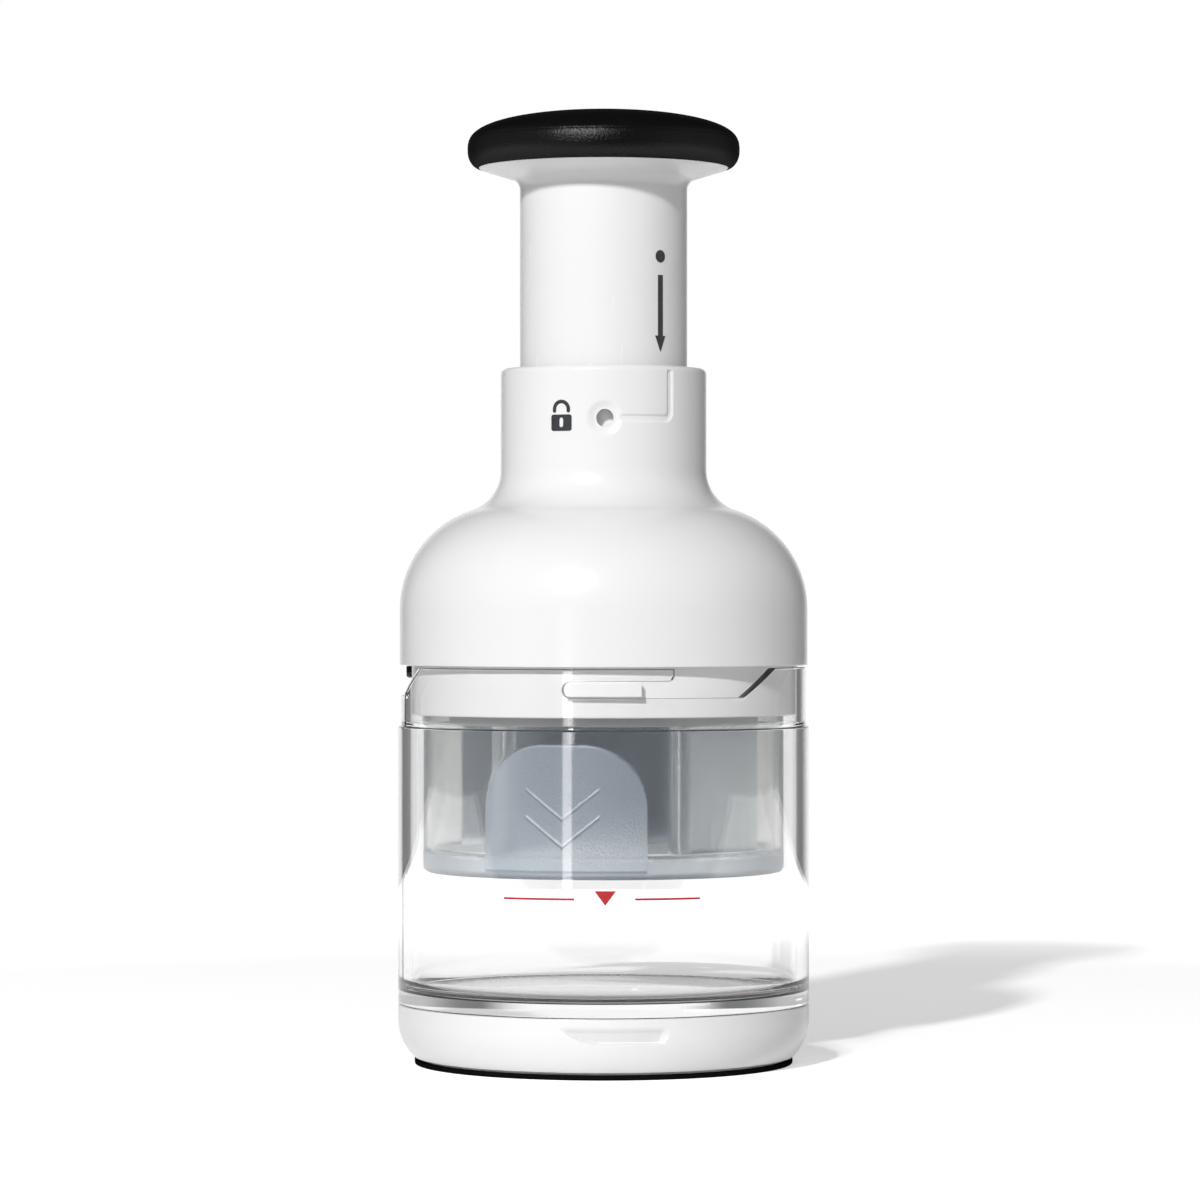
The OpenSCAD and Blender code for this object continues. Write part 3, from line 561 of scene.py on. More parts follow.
# %% Foot and base
foot_r, _, foot_top = size("foot_ring")
base_r, base_z, base_top = size("base_shell")
FOOT_W = 11
FOOT_ROUND = 0.4
TONGUE_INSET = 1.6
foot_in = foot_r - FOOT_W
tongue_r = foot_r - TONGUE_INSET
tongue_in = foot_in + TONGUE_INSET + 0.05
foot = joined([foot_in + FOOT_ROUND, 0],
              arc(foot_r - FOOT_ROUND, FOOT_ROUND, FOOT_ROUND, -90, 0, 5), [foot_r, base_z],
              [tongue_r, base_z], [tongue_r, foot_top], [tongue_in, foot_top],
              [tongue_in, base_z], [foot_in, base_z], [foot_in, FOOT_ROUND])
piece("foot", *turned(foot), "base", "foot_rubber", ["foot_ring"])

SIDE_R = 13
SIDE_RISE = 10.05
SIDE_END_A = -46
LIP_RISE = 0.7
TOP_ROUND = 0.35
PLATE_DROP = 0.3
PLATE_T = 2.1
CHANNEL_IN = 45.2
CHANNEL_OUT = 48.2
CHANNEL_Z = 8.9
NOTCH_A = 2
NOTCH_TOP = 13.4
NOTCH_LOW = 9.0
NOTCH_LEAN = 0.5
NOTCH_LEFT = -13.4
NOTCH_RIGHT = 14.6
NOTCH_SWEEP = 11
NOTCH_ROUND = 2.2
NOTCH_FADE = 2.6
NOTCH_SOFT = 1.6


def notch_depth(x, z):
    """Depth of the notch x mm round from its middle: it grows below the top by the lean,
    and ends at a ledge that rises in a curve to the left and in a short round to the right."""
    left = np.clip((NOTCH_LEFT + NOTCH_SWEEP - x) / NOTCH_SWEEP, 0, 1.4)
    right = np.clip((x - NOTCH_RIGHT + NOTCH_ROUND) / NOTCH_ROUND, 0, 1.4)
    ledge = NOTCH_LOW + (NOTCH_TOP - NOTCH_LOW) * (left ** 2 + right ** 3)
    inside = np.clip((z - ledge) / 0.3, 0, 1) * np.clip((NOTCH_RIGHT - x) / NOTCH_FADE, 0, 1)
    soft_top = np.clip((NOTCH_TOP - z) / NOTCH_SOFT, 0, 1)
    return NOTCH_LEAN * np.clip(NOTCH_TOP - z, 0, None) * soft_top * inside ** 2 * (3 - 2 * inside)


side_z = base_z + SIDE_RISE
lip_z = base_z + LIP_RISE
plate_z = base_top - PLATE_DROP
side = joined(arc(base_r - TOP_ROUND, base_top - TOP_ROUND, TOP_ROUND, 90, 0, 5),
              np.stack([np.full(15, base_r), np.linspace(base_top - 0.6, side_z + 0.1, 15)], 1),
              arc(base_r - SIDE_R, side_z, SIDE_R, 0, -14, 22),
              arc(base_r - SIDE_R, side_z, SIDE_R, -15, SIDE_END_A, 12))
hollow = joined([0, plate_z], [CHANNEL_IN, plate_z], [CHANNEL_IN, CHANNEL_Z],
                [CHANNEL_OUT, CHANNEL_Z], [CHANNEL_OUT, base_top - 0.3],
                [CHANNEL_OUT + 0.3, base_top])
under = joined([foot_r + 0.2, lip_z], [tongue_r + 0.05, lip_z], [tongue_r + 0.05, base_z],
               [foot_in, base_z], [foot_in, plate_z - PLATE_T], [0, plate_z - PLATE_T])
base_profile = joined(hollow, side, under)
base_angles = steps_round((-18, 22, 110), (22, 342, 130))
angle, r, z = np.broadcast_arrays(base_angles, base_profile[:, :1], base_profile[:, 1:])
from_notch = np.radians((angle - NOTCH_A + 180) % 360 - 180) * base_r
rows_of_side = np.arange(len(base_profile))[:, None]
is_side = (rows_of_side >= len(hollow)) & (rows_of_side < len(hollow) + len(side))
depth = notch_depth(from_notch, z) * is_side
piece("base", around(angle, r - depth, z), all_cells(*r.shape)[:, ::-1], "base",
      "base_plastic", ["base_shell"])

# %% [markdown]
# ## The cup
#
# The cup is a clear wall with three bayonet slots near its rim. Its grid is like a sheet of
# rubber: the lines are first laid straight, with one line on every edge of a slot, and then
# pulled sideways, into the slot's round end, the round corner of the tongue above it and
# the slope that leads down from the rim. Cells inside a slot are left out. The points on a
# slot's edge are set back 0.3 mm into the wall, which makes a small chamfer. These points,
# and the rows of the rim and of the step below the band, carry a mark that the finish turns
# into a painted dark line.

# %% Cup
cup_r, cup_low, rim_z = size("cup")
CUP_WALL = 3
BAND_INSET = 0.8
BAND_H = 14.8
LIP_ROUND = 0.3
FLOOR_Z = 18.2
FLOOR_FILLET = 3.8
PLUG_IN = 45.5
PLUG_OUT = 47.9
cup_in = cup_r - CUP_WALL
band_r = cup_r - BAND_INSET
band_z = rim_z - BAND_H
lug_z = rim_z - 5
SLOT_H = 4
SLOT_END_A = -11.4
ENTRY_A = 19.9
ENTRY_END_A = 42.1
SLOPE_A = 14
TONGUE_CORNER = 1.4
CHAMFER = 0.3
slot_low = lug_z - SLOT_H / 2
slot_top = lug_z + SLOT_H / 2


def tent(angle, peak, before, after):
    """1 at the peak, falling in a straight line to 0 that many degrees before and after."""
    return np.clip(np.where(angle < peak, 1 + (angle - peak) / before, 1 - (angle - peak) / after),
                   0, 1)


def pulled(angle, z):
    """Degrees by which the sheet is pulled sideways at an angle and a height: a half circle
    at the slot's end, a quarter circle at the tongue's corner and a straight slope."""
    mm_a = np.degrees(1 / band_r)
    beside_middle = np.clip(np.abs(z - lug_z) / (SLOT_H / 2), 0, 1)
    fade = np.clip((z - band_z - 1) / (slot_low - band_z - 1), 0, 1)
    round_end = SLOT_H / 2 * (1 - np.sqrt(1 - beside_middle ** 2)) * fade
    into_corner = np.clip((slot_top + TONGUE_CORNER - z) / TONGUE_CORNER, 0, 1)
    corner = -TONGUE_CORNER * (1 - np.sqrt(1 - into_corner ** 2)) * (z > slot_low + 0.1)
    up_slope = np.clip((z - slot_low) / (rim_z - slot_low), 0, 1)
    return (round_end * mm_a * tent(angle, SLOT_END_A, 8, 9)
            + corner * mm_a * tent(angle, ENTRY_A, 9, 9)
            + SLOPE_A * up_slope * tent(angle, ENTRY_END_A, ENTRY_END_A - ENTRY_A, 50))


chamfer_a = math.degrees(CHAMFER / band_r)
third_angles = steps_round(
    (-20, SLOT_END_A - chamfer_a, 14), (SLOT_END_A - chamfer_a, SLOT_END_A, 1),
    (SLOT_END_A, -6, 20), (-6, 12, 16), (12, ENTRY_A - chamfer_a, 16),
    (ENTRY_A - chamfer_a, ENTRY_A, 1), (ENTRY_A, 23, 8), (23, ENTRY_END_A, 8),
    (ENTRY_END_A, ENTRY_END_A + chamfer_a, 1), (ENTRY_END_A + chamfer_a, 56, 16), (56, 100, 20))
band_rows = np.concatenate([np.linspace(band_z + 0.4, slot_low - CHAMFER, 9),
                            np.linspace(slot_low, slot_top, 17),
                            np.linspace(slot_top + CHAMFER, rim_z - LIP_ROUND, 9)])
cup_body = joined([0, base_top], [PLUG_IN, base_top], [PLUG_IN, cup_low + 0.4],
                  [PLUG_IN + 0.4, cup_low], [PLUG_OUT - 0.4, cup_low], [PLUG_OUT, cup_low + 0.4],
                  [PLUG_OUT, base_top], arc(cup_r - 0.5, base_top + 0.5, 0.5, -90, 0, 5),
                  [cup_r, band_z - 0.35], arc(cup_r - 0.35, band_z - 0.35, 0.35, 0, 70, 4),
                  [band_r + 0.25, band_z + 0.05])
cup_inside = joined([0, FLOOR_Z],
                    arc(cup_in - FLOOR_FILLET, FLOOR_Z + FLOOR_FILLET, FLOOR_FILLET, -90, 0, 10),
                    [cup_in, band_z])
cup_inside = divided(cup_inside, len(cup_body))
rim_a = np.radians([30, 60, 90])
rim_rise = LIP_ROUND * np.sin(rim_a)
rim_in = LIP_ROUND * (1 - np.cos(rim_a))
wall_z = np.concatenate([band_rows, rim_z - LIP_ROUND + rim_rise])
outer_r = np.concatenate([np.full(len(band_rows), band_r), band_r - rim_in])
inner_r = np.concatenate([np.full(len(band_rows), cup_in), cup_in + rim_in])
cup_outer = joined(cup_body, np.stack([outer_r, wall_z], 1))
cup_inner = joined(cup_inside, np.stack([inner_r, wall_z], 1))

pull = pulled(third_angles[None, :], cup_outer[:, 1:]) * (cup_outer[:, :1] >= band_r - 0.4)
pull[: len(cup_body)] = 0
cup_angles = np.concatenate([third_angles + pull + 120 * k for k in range(3)], axis=1)
cell_a = (third_angles + np.roll(third_angles, -1)) / 2
cell_a[-1] = 99
cell_z = (cup_outer[:-1, 1] + cup_outer[1:, 1])[:, None] / 2
in_band = np.arange(len(cup_outer) - 1)[:, None] >= len(cup_body)
slot = (cell_z > slot_low) & (cell_z < slot_top) & (cell_a > SLOT_END_A) & (cell_a < ENTRY_END_A)
entry = (cell_z > slot_low) & (cell_a > ENTRY_A) & (cell_a < ENTRY_END_A)
keep = np.tile(~(in_band & (slot | entry)), (1, 3))
above_in = np.vstack([keep[:1], keep])
below_in = np.vstack([keep, keep[-1:]])
corners = np.stack([above_in, below_in, np.roll(above_in, 1, 1), np.roll(below_in, 1, 1)])
# A slot's edge points: set back for the chamfer, and marked for the painted dark line.
edge = 1.0 * (corners.any(0) & ~corners.all(0))
cup_skins = two_skins(
    around(cup_angles, cup_outer[:, :1] - CHAMFER * edge, cup_outer[:, 1:]),
    around(cup_angles, cup_inner[:, :1] + CHAMFER * edge, cup_inner[:, 1:]), keep, low=False)
# The rim's rows and the step's rows get the painted dark line too: painted shade.
edge[-3:] = 1
edge[len(cup_body) - 4:len(cup_body)] = 1
piece("cup", *cup_skins, "cup", "cup_clear", ["cup"], sharp=40,
      marks={"edge": np.concatenate([edge, 0 * edge]).ravel()})

# %% [markdown]
# ## Marks
#
# Each printed mark is a film 0.08 mm thick on a round surface. It is made of small plates: a
# flat grid of x and z is laid on the cylinder, so that x runs round it, and given a
# thickness. A rectangle, a triangle that narrows to a point and a disc are enough for most
# marks.


# %% Plates on a cylinder
INK = 0.08


def plate(x, z, r, angle, thick=INK, sink=0.0):
    """A film of that thickness on radius r: x runs round from the angle, z up. Its two grids
    don't close on themselves, and a wall runs all round between them."""
    rows, columns = x.shape
    a = angle + np.degrees(x / r)
    points = np.concatenate([around(a, r + thick, z), around(a, r - sink, z)]).reshape(-1, 3)
    skin = cells(*np.nonzero(np.ones((rows - 1, columns - 1), bool)), rows, columns)
    index = np.arange(rows * columns).reshape(rows, columns)
    edge = np.concatenate([index[0], index[1:, -1], index[-1, -2::-1], index[-2:0:-1, 0]])
    ahead = np.roll(edge, -1)
    shift = rows * columns
    wall = np.stack([ahead, edge, edge + shift, ahead + shift], 1)
    return points, np.concatenate([skin, skin[:, ::-1] + shift, wall])


def quad_grid(left, right, low, high, columns):
    """A rectangle as a grid of x and z, two rows high."""
    return np.meshgrid(np.linspace(left, right, columns), np.array([low, high], float))


def wedge(width, low, high, rows):
    """A triangle with its point at low and its full width at high."""
    u, v = np.meshgrid(np.linspace(-0.5, 0.5, 9), np.linspace(0, 1, rows))
    return u * v * width, low + (high - low) * v


def disc(radius, height, n=17):
    """A square grid pulled round: each square ring becomes the circle of its own size."""
    u, v = np.meshgrid(np.linspace(-1, 1, n), np.linspace(-1, 1, n))
    ring = np.maximum(np.abs(u), np.abs(v))
    reach = np.hypot(u, v)
    scale = np.divide(ring, reach, out=np.ones_like(ring), where=reach > 0)
    return u * scale * radius, height + v * scale * radius


def on(parts, r, angle):
    """Several flat grids laid on the same cylinder, as one set of points and faces."""
    return together(*(plate(x, z, r, angle) for x, z in parts))


FILL_Z = 43.8
FILL_LINE = 0.5
FILL_SPANS_A = ((-27.9, -7.9), (8.4, 26.8))
POINTER_W = 5.2
POINTER_A = 0.4
strokes = [quad_grid(np.radians(a) * cup_r, np.radians(b) * cup_r, FILL_Z - FILL_LINE / 2,
                     FILL_Z + FILL_LINE / 2, columns=60) for a, b in FILL_SPANS_A]
pointer = wedge(POINTER_W, FILL_Z - 1.5, FILL_Z + 2, rows=4)
piece("fill_line", *together(on(strokes, cup_r, 0), on([pointer], cup_r, POINTER_A)),
      "cup", "fill_ink", ["fill_mark"])

# %% [markdown]
# ## The head's housing
#
# One bell-shaped shell runs from the skirt over the shoulder and up the neck. Its profile is
# a straight skirt, a wide arc for the shoulder, a hollow arc that meets it at a tangent, and
# the neck. The lock window is a hole in the middle of a shallow dish, and a track in the
# shape of an L shows the way from the window to the top. Dish and track are dents: the grid
# is fine there, and its points move inwards by a depth given for every point. Round the
# window the square grid is pulled to a circle, so the hole's edge is truly round.

# %% Housing
HEAD_INSET = 0.4
HOUSING_WALL = 2.4
SKIRT_H = 13.9
SHOULDER_ROUND = 26
NECK_FILLET = 10.5
NECK_R = 25.7
RIM_ROUND = 1.4
SKIRT_ROUND = 0.3
WINDOW_A = 0.7
WINDOW_D = 4.4
WINDOW_DROP = 13.1
DISH_R = 4.7
DISH_DEPTH = 0.75
TRACK_LEG = 17.4
TRACK_RISE = 11.3
TRACK_W = 1.5
TRACK_DEPTH = 0.42
TRACK_CORNER = 1.6
WINDOW_SQUARE = 3.2
_, skirt_z, neck_top_z = size("housing")
housing_r = cup_r - HEAD_INSET
window_z = neck_top_z - WINDOW_DROP
shoulder_z = skirt_z + SKIRT_H
shoulder_x = housing_r - SHOULDER_ROUND
fillet_x = NECK_R + NECK_FILLET
fillet_z = shoulder_z + math.sqrt((SHOULDER_ROUND + NECK_FILLET) ** 2
                                  - (fillet_x - shoulder_x) ** 2)
join_a = math.degrees(math.atan2(fillet_z - shoulder_z, fillet_x - shoulder_x))


def bell(inset):
    """Profile of the bell, inset by that much: skirt, shoulder and fillet, up to the neck."""
    return joined([housing_r - inset, skirt_z + SKIRT_ROUND],
                  [housing_r - inset, skirt_z + SKIRT_H / 2],
                  arc(shoulder_x, shoulder_z, SHOULDER_ROUND - inset, 0, join_a, 34),
                  arc(fillet_x, fillet_z, NECK_FILLET + inset, 180 + join_a, 180, 22)[1:])


def step_to(value, edge, width):
    """A smooth step from 0 to 1 as value passes from edge - width / 2 to edge + width / 2."""
    t = np.clip((value - edge) / width + 0.5, 0, 1)
    return t * t * (3 - 2 * t)


def track_distance(x, z):
    """Distance to the track's middle line: along the window's level, round a corner and up."""
    turn_x = TRACK_LEG - TRACK_CORNER
    along = np.hypot(x - np.clip(x, DISH_R - 1, turn_x), z)
    up = np.hypot(x - TRACK_LEG, z - np.clip(z, TRACK_CORNER, TRACK_RISE))
    bend = np.abs(np.hypot(x - turn_x, z - TRACK_CORNER) - TRACK_CORNER)
    in_bend = (x >= turn_x) & (z <= TRACK_CORNER)
    return np.where(in_bend, bend, np.minimum(along, up))


def dent(x, z):
    """Depth of the dish and the track, x mm round and z mm up from the window's middle."""
    dish = DISH_DEPTH * (1 - step_to(np.hypot(x, z), DISH_R - 1.1, 2.2))
    track = TRACK_DEPTH * (1 - step_to(track_distance(x, z), TRACK_W / 2, 0.8))
    return np.maximum(dish, track)


def square_to_round(x, z, half, reach):
    """Pulls the square ring at half to a circle; the pull fades to nothing at reach."""
    ring = np.maximum(np.abs(x), np.abs(z))
    fade = np.clip((reach - ring) / (reach - half), 0, 1)
    scale = 1 + fade * (np.divide(ring, np.hypot(x, z), out=np.ones_like(ring), where=ring > 0) - 1)
    return x * scale, z * scale


half_d = WINDOW_D / 2
neck_end = WINDOW_DROP - RIM_ROUND
neck_rows = steps_round((fillet_z - window_z, -DISH_R - 1, 8), (-DISH_R - 1, -half_d, 14),
                        (-half_d, half_d, 34), (half_d, DISH_R + 1, 22),
                        (DISH_R + 1, TRACK_RISE - 1, 16), (TRACK_RISE - 1, neck_end, 10))
neck_rows = np.append(neck_rows, neck_end)
near = steps_round((-DISH_R - 2, -half_d, 24), (-half_d, half_d, 24),
                   (half_d, DISH_R + 2, 24), (DISH_R + 2, TRACK_LEG - 3, 16),
                   (TRACK_LEG - 3, TRACK_LEG + 1.5, 36), (TRACK_LEG + 1.5, 24, 10))
far = np.linspace(24, 2 * np.pi * NECK_R - DISH_R - 2, 96, endpoint=False)
neck_x = np.concatenate([near, far])
x, z = np.meshgrid(neck_x, neck_rows[1:])
round_x, round_z = square_to_round(x, z, half_d, WINDOW_SQUARE)
neck_a = WINDOW_A + np.degrees(round_x / NECK_R)
straight_a = WINDOW_A + np.degrees(neck_x / NECK_R)


def skin(inset, dents):
    """The bell's rows, then the neck's, as one grid of points."""
    below = bell(inset)
    low = around(straight_a, below[:, :1], below[:, 1:])
    depth = dents * dent(round_x, round_z)
    return np.concatenate([low, around(neck_a, NECK_R - inset - depth, round_z + window_z)])


edge_a = np.radians([30, 60, 90])
row_a = straight_a[None, :]
skirt_edge = [around(row_a, housing_r - SKIRT_ROUND * (1 - np.cos(a)),
                     skirt_z + SKIRT_ROUND * (1 - np.sin(a))) for a in edge_a[::-1]]
rim_edge = [around(row_a, NECK_R - RIM_ROUND * (1 - np.cos(a)),
                   neck_top_z - RIM_ROUND * (1 - np.sin(a)))
            for a in np.radians(np.linspace(15, 90, 6))]
inner_low = around(row_a, housing_r - HOUSING_WALL, skirt_z)
inner_top = around(row_a, NECK_R - HOUSING_WALL, neck_top_z)
outer = np.concatenate(skirt_edge + [skin(0, 1)] + rim_edge)
inner = np.concatenate([inner_low] * len(skirt_edge) + [skin(HOUSING_WALL, 0)]
                       + [inner_top] * len(rim_edge))
rows_below = len(skirt_edge) + len(bell(0))
hole = np.zeros((len(outer) - 1, len(neck_x)), bool)
mid_x = (neck_x + np.roll(neck_x, -1)) / 2
mid_z = (neck_rows[1:-1] + neck_rows[2:]) / 2
hole[rows_below:rows_below + len(mid_z)] = ((np.abs(mid_z)[:, None] < half_d)
                                           & (np.abs(mid_x)[None, :] < half_d))
hole[:, -1] = False
piece("housing", *two_skins(outer, inner, ~hole), "head", "head_plastic", ["housing"], sharp=40)

# %% [markdown]
# ## The padlock sign
#
# The sign beside the window is a plain padlock with its bow lifted off. Its body is two
# mirrored halves. In each row of their grids the outer end is drawn in at the round corners
# and the inner end is pushed out at the keyhole. The bow is a band laid along a path, and
# its width shrinks to nothing at both ends, which rounds them.

# %% Padlock sign
SIGN_A = -23.8
SIGN_HALF = 2.72
SIGN_LOW = -3.16
SIGN_TOP = 0.87
SIGN_CORNER = 0.6
KEYHOLE_HALF = 0.5
KEYHOLE_Z = (-2.23, 0.1)
BOW_R = 1.85
BOW_W = 0.9
BOW_Z = 2.2
BOW_LEG = 0.9


def half_width(z, low, high, half, corner):
    """Half width, at height z, of a rectangle whose corners are round."""
    beyond = np.clip(np.maximum(low + corner - z, z - high + corner), 0, corner)
    inside = (z >= low) & (z <= high)
    return inside * (half - corner + np.sqrt(corner ** 2 - beyond ** 2))


def body_half(side):
    """The padlock's left or right half: from the keyhole's edge to the rounded outside."""
    rows = np.linspace(SIGN_LOW, SIGN_TOP, 61)
    reach = half_width(rows, SIGN_LOW, SIGN_TOP, SIGN_HALF, SIGN_CORNER)[:, None]
    hole = half_width(rows, *KEYHOLE_Z, KEYHOLE_HALF, KEYHOLE_HALF)[:, None]
    x = side * (hole + (reach - hole) * np.linspace(0, 1, 9))
    return x[:, ::side], np.broadcast_to(rows[:, None], x.shape)


def bow():
    """A band up one leg, round half a circle and down the other leg, with round ends."""
    along = np.linspace(0, 2 * BOW_LEG + math.pi * BOW_R, 61)
    turn = np.clip((along - BOW_LEG) / BOW_R, 0, math.pi)
    from_end = np.minimum(along, along[::-1])
    round_end = np.clip(BOW_W / 2 - from_end, 0, None)
    half = np.sqrt((BOW_W / 2) ** 2 - round_end ** 2)
    r = BOW_R + np.array([[-1], [1]]) * half
    fall = np.clip(BOW_LEG - from_end, 0, None)
    return -r * np.cos(turn), BOW_Z + r * np.sin(turn) - fall


sign = [body_half(1), body_half(-1), bow()]
piece("padlock_sign", *on([(x, z + window_z) for x, z in sign], NECK_R, SIGN_A),
      "head", "mark_ink", ["lock_icon"])

# %% [markdown]
# ## The lock ring and its lugs
#
# Inside the cup's rim sits a white ring that belongs to the head. Three lugs stand out from
# it into the cup's slots. Each lug is a curved block, round at the end that the slot's round
# end receives. A block is a plate on a cylinder, sunk a little into the ring.

# %% Lock ring
RING_IN = 45.35
LUG_H = 3.2
LUG_SPAN_A = 21.4
LUG_A = -0.3
_, ring_z, ring_top = size("lock_ring")
ring_r = cup_in - 0.4
lug_r = band_r - 0.2
ring_top_r = housing_r - HOUSING_WALL - 0.05
ring = joined([RING_IN, ring_z + 0.5], [RING_IN + 0.5, ring_z], [ring_r - 0.5, ring_z],
              arc(ring_r - 0.5, ring_z + 0.5, 0.5, -60, 0, 3), [ring_r, skirt_z],
              [ring_top_r, skirt_z], [ring_top_r, ring_top], [RING_IN, ring_top])
rows = np.linspace(-LUG_H / 2, LUG_H / 2, 25)[:, None]
lug_end = np.radians(LUG_SPAN_A / 2) * lug_r
lug_left = -lug_end + LUG_H / 2 - np.sqrt((LUG_H / 2) ** 2 - rows ** 2)
lug_x = lug_left + (lug_end - lug_left) * np.linspace(0, 1, 41)
lug_grid = (lug_x * ring_r / lug_r, np.broadcast_to(rows, lug_x.shape) + lug_z)
lugs = [plate(*lug_grid, ring_r, LUG_A + 120 * k, thick=lug_r - ring_r, sink=0.3)
        for k in range(3)]
piece("lock_ring", *together(turned(ring), *lugs), "head", "head_plastic", ["lock_ring"])

# %% [markdown]
# ## The blade guard
#
# The guard is a clear shroud with a lip at its lower edge. On two sides it carries a thumb
# pad in the shape of an arch, 0.3 mm proud, frosted by a fine grain, with two arrow lines
# that show which way to pull. Pad and lines are heights added to the radius, on a grid fine
# enough for the lines. The pad's formula is also stored on the mesh, so the finish knows
# where the pad's grain is. Inside, six flat studs on the lip keep the blade off it.

# %% Guard
GUARD_WALL = 1.8
LIP_W = 3.8
LIP_H = 5.2
PAD_A = -12.6
PAD_HALF = 20.25
PAD_H = 30.4
PAD_ROUND = 15.5
PAD_PROUD = 0.3
LINE_PROUD = 0.25
LINE_RISES = (6, 12.6)
LINE_HALF = 9
LINE_DROP = 7.3
LINE_W = 0.5
STUDS = 6
STUD_A = -37
STUD_SPAN_A = 15
STUD_PROUD = 0.9
GUARD_GAP = 3.3
PAD_RISE = 2
EDGE_ROUND = 1.6
_, guard_z, guard_top = size("blade_guard")
guard_r = cup_in - GUARD_GAP
pad_z = guard_z + PAD_RISE


def pad_cover(x, z):
    """1 on the arch, 0 off it, x mm round and z mm up from the middle of its lower edge."""
    side_x = np.abs(x) - (PAD_HALF - PAD_ROUND)
    side_z = z - (PAD_H - PAD_ROUND)
    corner = np.hypot(np.clip(side_x, 0, None), np.clip(side_z, 0, None)) - PAD_ROUND
    edge = np.where(side_z > 0, corner, np.abs(x) - PAD_HALF)
    return (1 - step_to(edge, 0, 0.5)) * step_to(z, 0, 0.5)


def line_cover(x, z):
    """1 on the two arrow lines: at |x| from the middle a line lies at its rise + slope |x|."""
    slope = LINE_DROP / LINE_HALF
    inside = 1 - step_to(np.abs(x), LINE_HALF, 0.3)
    across = math.cos(math.atan(slope))
    lines = [1 - step_to(np.abs(z - rise - slope * np.abs(x)) * across, LINE_W / 2, 0.25)
             for rise in LINE_RISES]
    return np.maximum(*lines) * inside


half_turn_x = steps_round((-30, -PAD_HALF - 0.6, 6), (-PAD_HALF - 0.6, -PAD_HALF + 0.6, 8),
                          (-PAD_HALF + 0.6, -LINE_HALF - 0.5, 18),
                          (-LINE_HALF - 0.5, LINE_HALF + 0.5, 112),
                          (LINE_HALF + 0.5, PAD_HALF - 0.6, 18),
                          (PAD_HALF - 0.6, PAD_HALF + 0.6, 8),
                          (PAD_HALF + 0.6, np.pi * guard_r - 30, 44))
half_turn_a = np.degrees(half_turn_x / guard_r)
guard_a = PAD_A + np.concatenate([half_turn_a, half_turn_a + 180])
pad_rows = steps_round((0, 1, 6), (1, 5.5, 8), (5.5, 21, 86), (21, PAD_H - 2, 14),
                       (PAD_H - 2, PAD_H + 1, 12), (PAD_H + 1, guard_top - pad_z - 0.3, 6))
guard_outer = joined([guard_r - EDGE_ROUND - LIP_W / 3, guard_z],
                     arc(guard_r - EDGE_ROUND, guard_z + EDGE_ROUND, EDGE_ROUND, -90, 0, 8),
                     np.stack([np.full(len(pad_rows), guard_r), pad_z + pad_rows], 1),
                     [guard_r, guard_top - 0.3], [guard_r - 0.3, guard_top])
lip_in = guard_r - LIP_W
guard_in = guard_r - GUARD_WALL
guard_inner = joined([lip_in + 0.6, guard_z], arc(lip_in + 0.6, guard_z + 0.6, 0.6, -100, -180, 4),
                     [lip_in, guard_z + LIP_H - 0.4], [lip_in + 0.4, guard_z + LIP_H],
                     [guard_in - 1, guard_z + LIP_H + 0.05], [guard_in, guard_z + LIP_H + 1],
                     [guard_in, guard_top])
guard_profile = joined(guard_outer, guard_inner[::-1])
angle, r, z = np.broadcast_arrays(guard_a, guard_profile[:, :1], guard_profile[:, 1:])
across = np.radians((angle - PAD_A + 90) % 180 - 90) * guard_r
cover = pad_cover(across, z - pad_z) * (r > guard_r - 0.01)
stud_pitch = 360 / STUDS
from_stud = (angle - STUD_A + stud_pitch / 2) % stud_pitch - stud_pitch / 2
stud = step_to(STUD_SPAN_A / 2 - np.abs(from_stud), 0, 0.8)
stud_rows = (r < lip_in + 0.3) & (z > guard_z + 0.3)
raised = PAD_PROUD * cover + LINE_PROUD * line_cover(across, z - pad_z) * cover
guard_grid = around(angle, r + raised - STUD_PROUD * stud * stud_rows, z)
piece("blade_guard", guard_grid, all_cells(*r.shape, closed=True), "guard", "guard_clear",
      ["blade_guard"], sharp=50, marks={"pad": cover.ravel()})

# %% [markdown]
# ## The blade and its carrier
#
# The blade is one steel strip on edge, bent four times into a wide S with two more legs. Its
# path is a chain of circles joined by their common tangents. Each station of the path has a
# heading, so a point off to one side of the middle line is the circle's middle plus that
# offset along the normal. The section is a thin flat bar whose lower edge is ground to a
# chisel.

# %% Blade
BLADE_T = 0.6
EDGE_T = 0.16
EDGE_H = 1.8
BLADE_REACH = 39.4
LEG_X = 20.9
BEND_R = 3.1
TIP_A = 75
BLADE_REST_A = -4.6
BEND_STEPS = 15
_, blade_z, _ = size("chopping_blade")
carrier_r, carrier_z, carrier_top = size("blade_carrier")
bend_y = math.sqrt((BLADE_REACH - BEND_R - BLADE_T / 2) ** 2 - LEG_X ** 2)
tip_x = (BLADE_REACH - 0.2) * math.sin(math.radians(TIP_A))
tip_y = (BLADE_REACH - 0.2) * math.cos(math.radians(TIP_A))
stops = np.array([[-tip_x, -tip_y, 0, 1], [-LEG_X, -bend_y, BEND_R, 1],
                  [-LEG_X, bend_y, BEND_R, -1], [LEG_X, -bend_y, BEND_R, 1],
                  [LEG_X, bend_y, BEND_R, -1], [tip_x, tip_y, 0, 1]])
step = np.diff(stops[:, :2], axis=0)
signed_r = stops[:, 2] * stops[:, 3]
heading = (np.arctan2(step[:, 1], step[:, 0])
           - np.arcsin(np.diff(signed_r) / np.linalg.norm(step, axis=1)))
turn = stops[1:-1, 3]
swing = (np.diff(heading) * turn) % (2 * np.pi)
share = np.linspace(0, 1, BEND_STEPS)
in_bends = (heading[:-1, None] + (turn * swing)[:, None] * share).ravel()
station_heading = np.concatenate([heading[:1], in_bends, heading[-1:]])[:, None]
station = np.repeat(stops, [1] + [BEND_STEPS] * 4 + [1], axis=0)
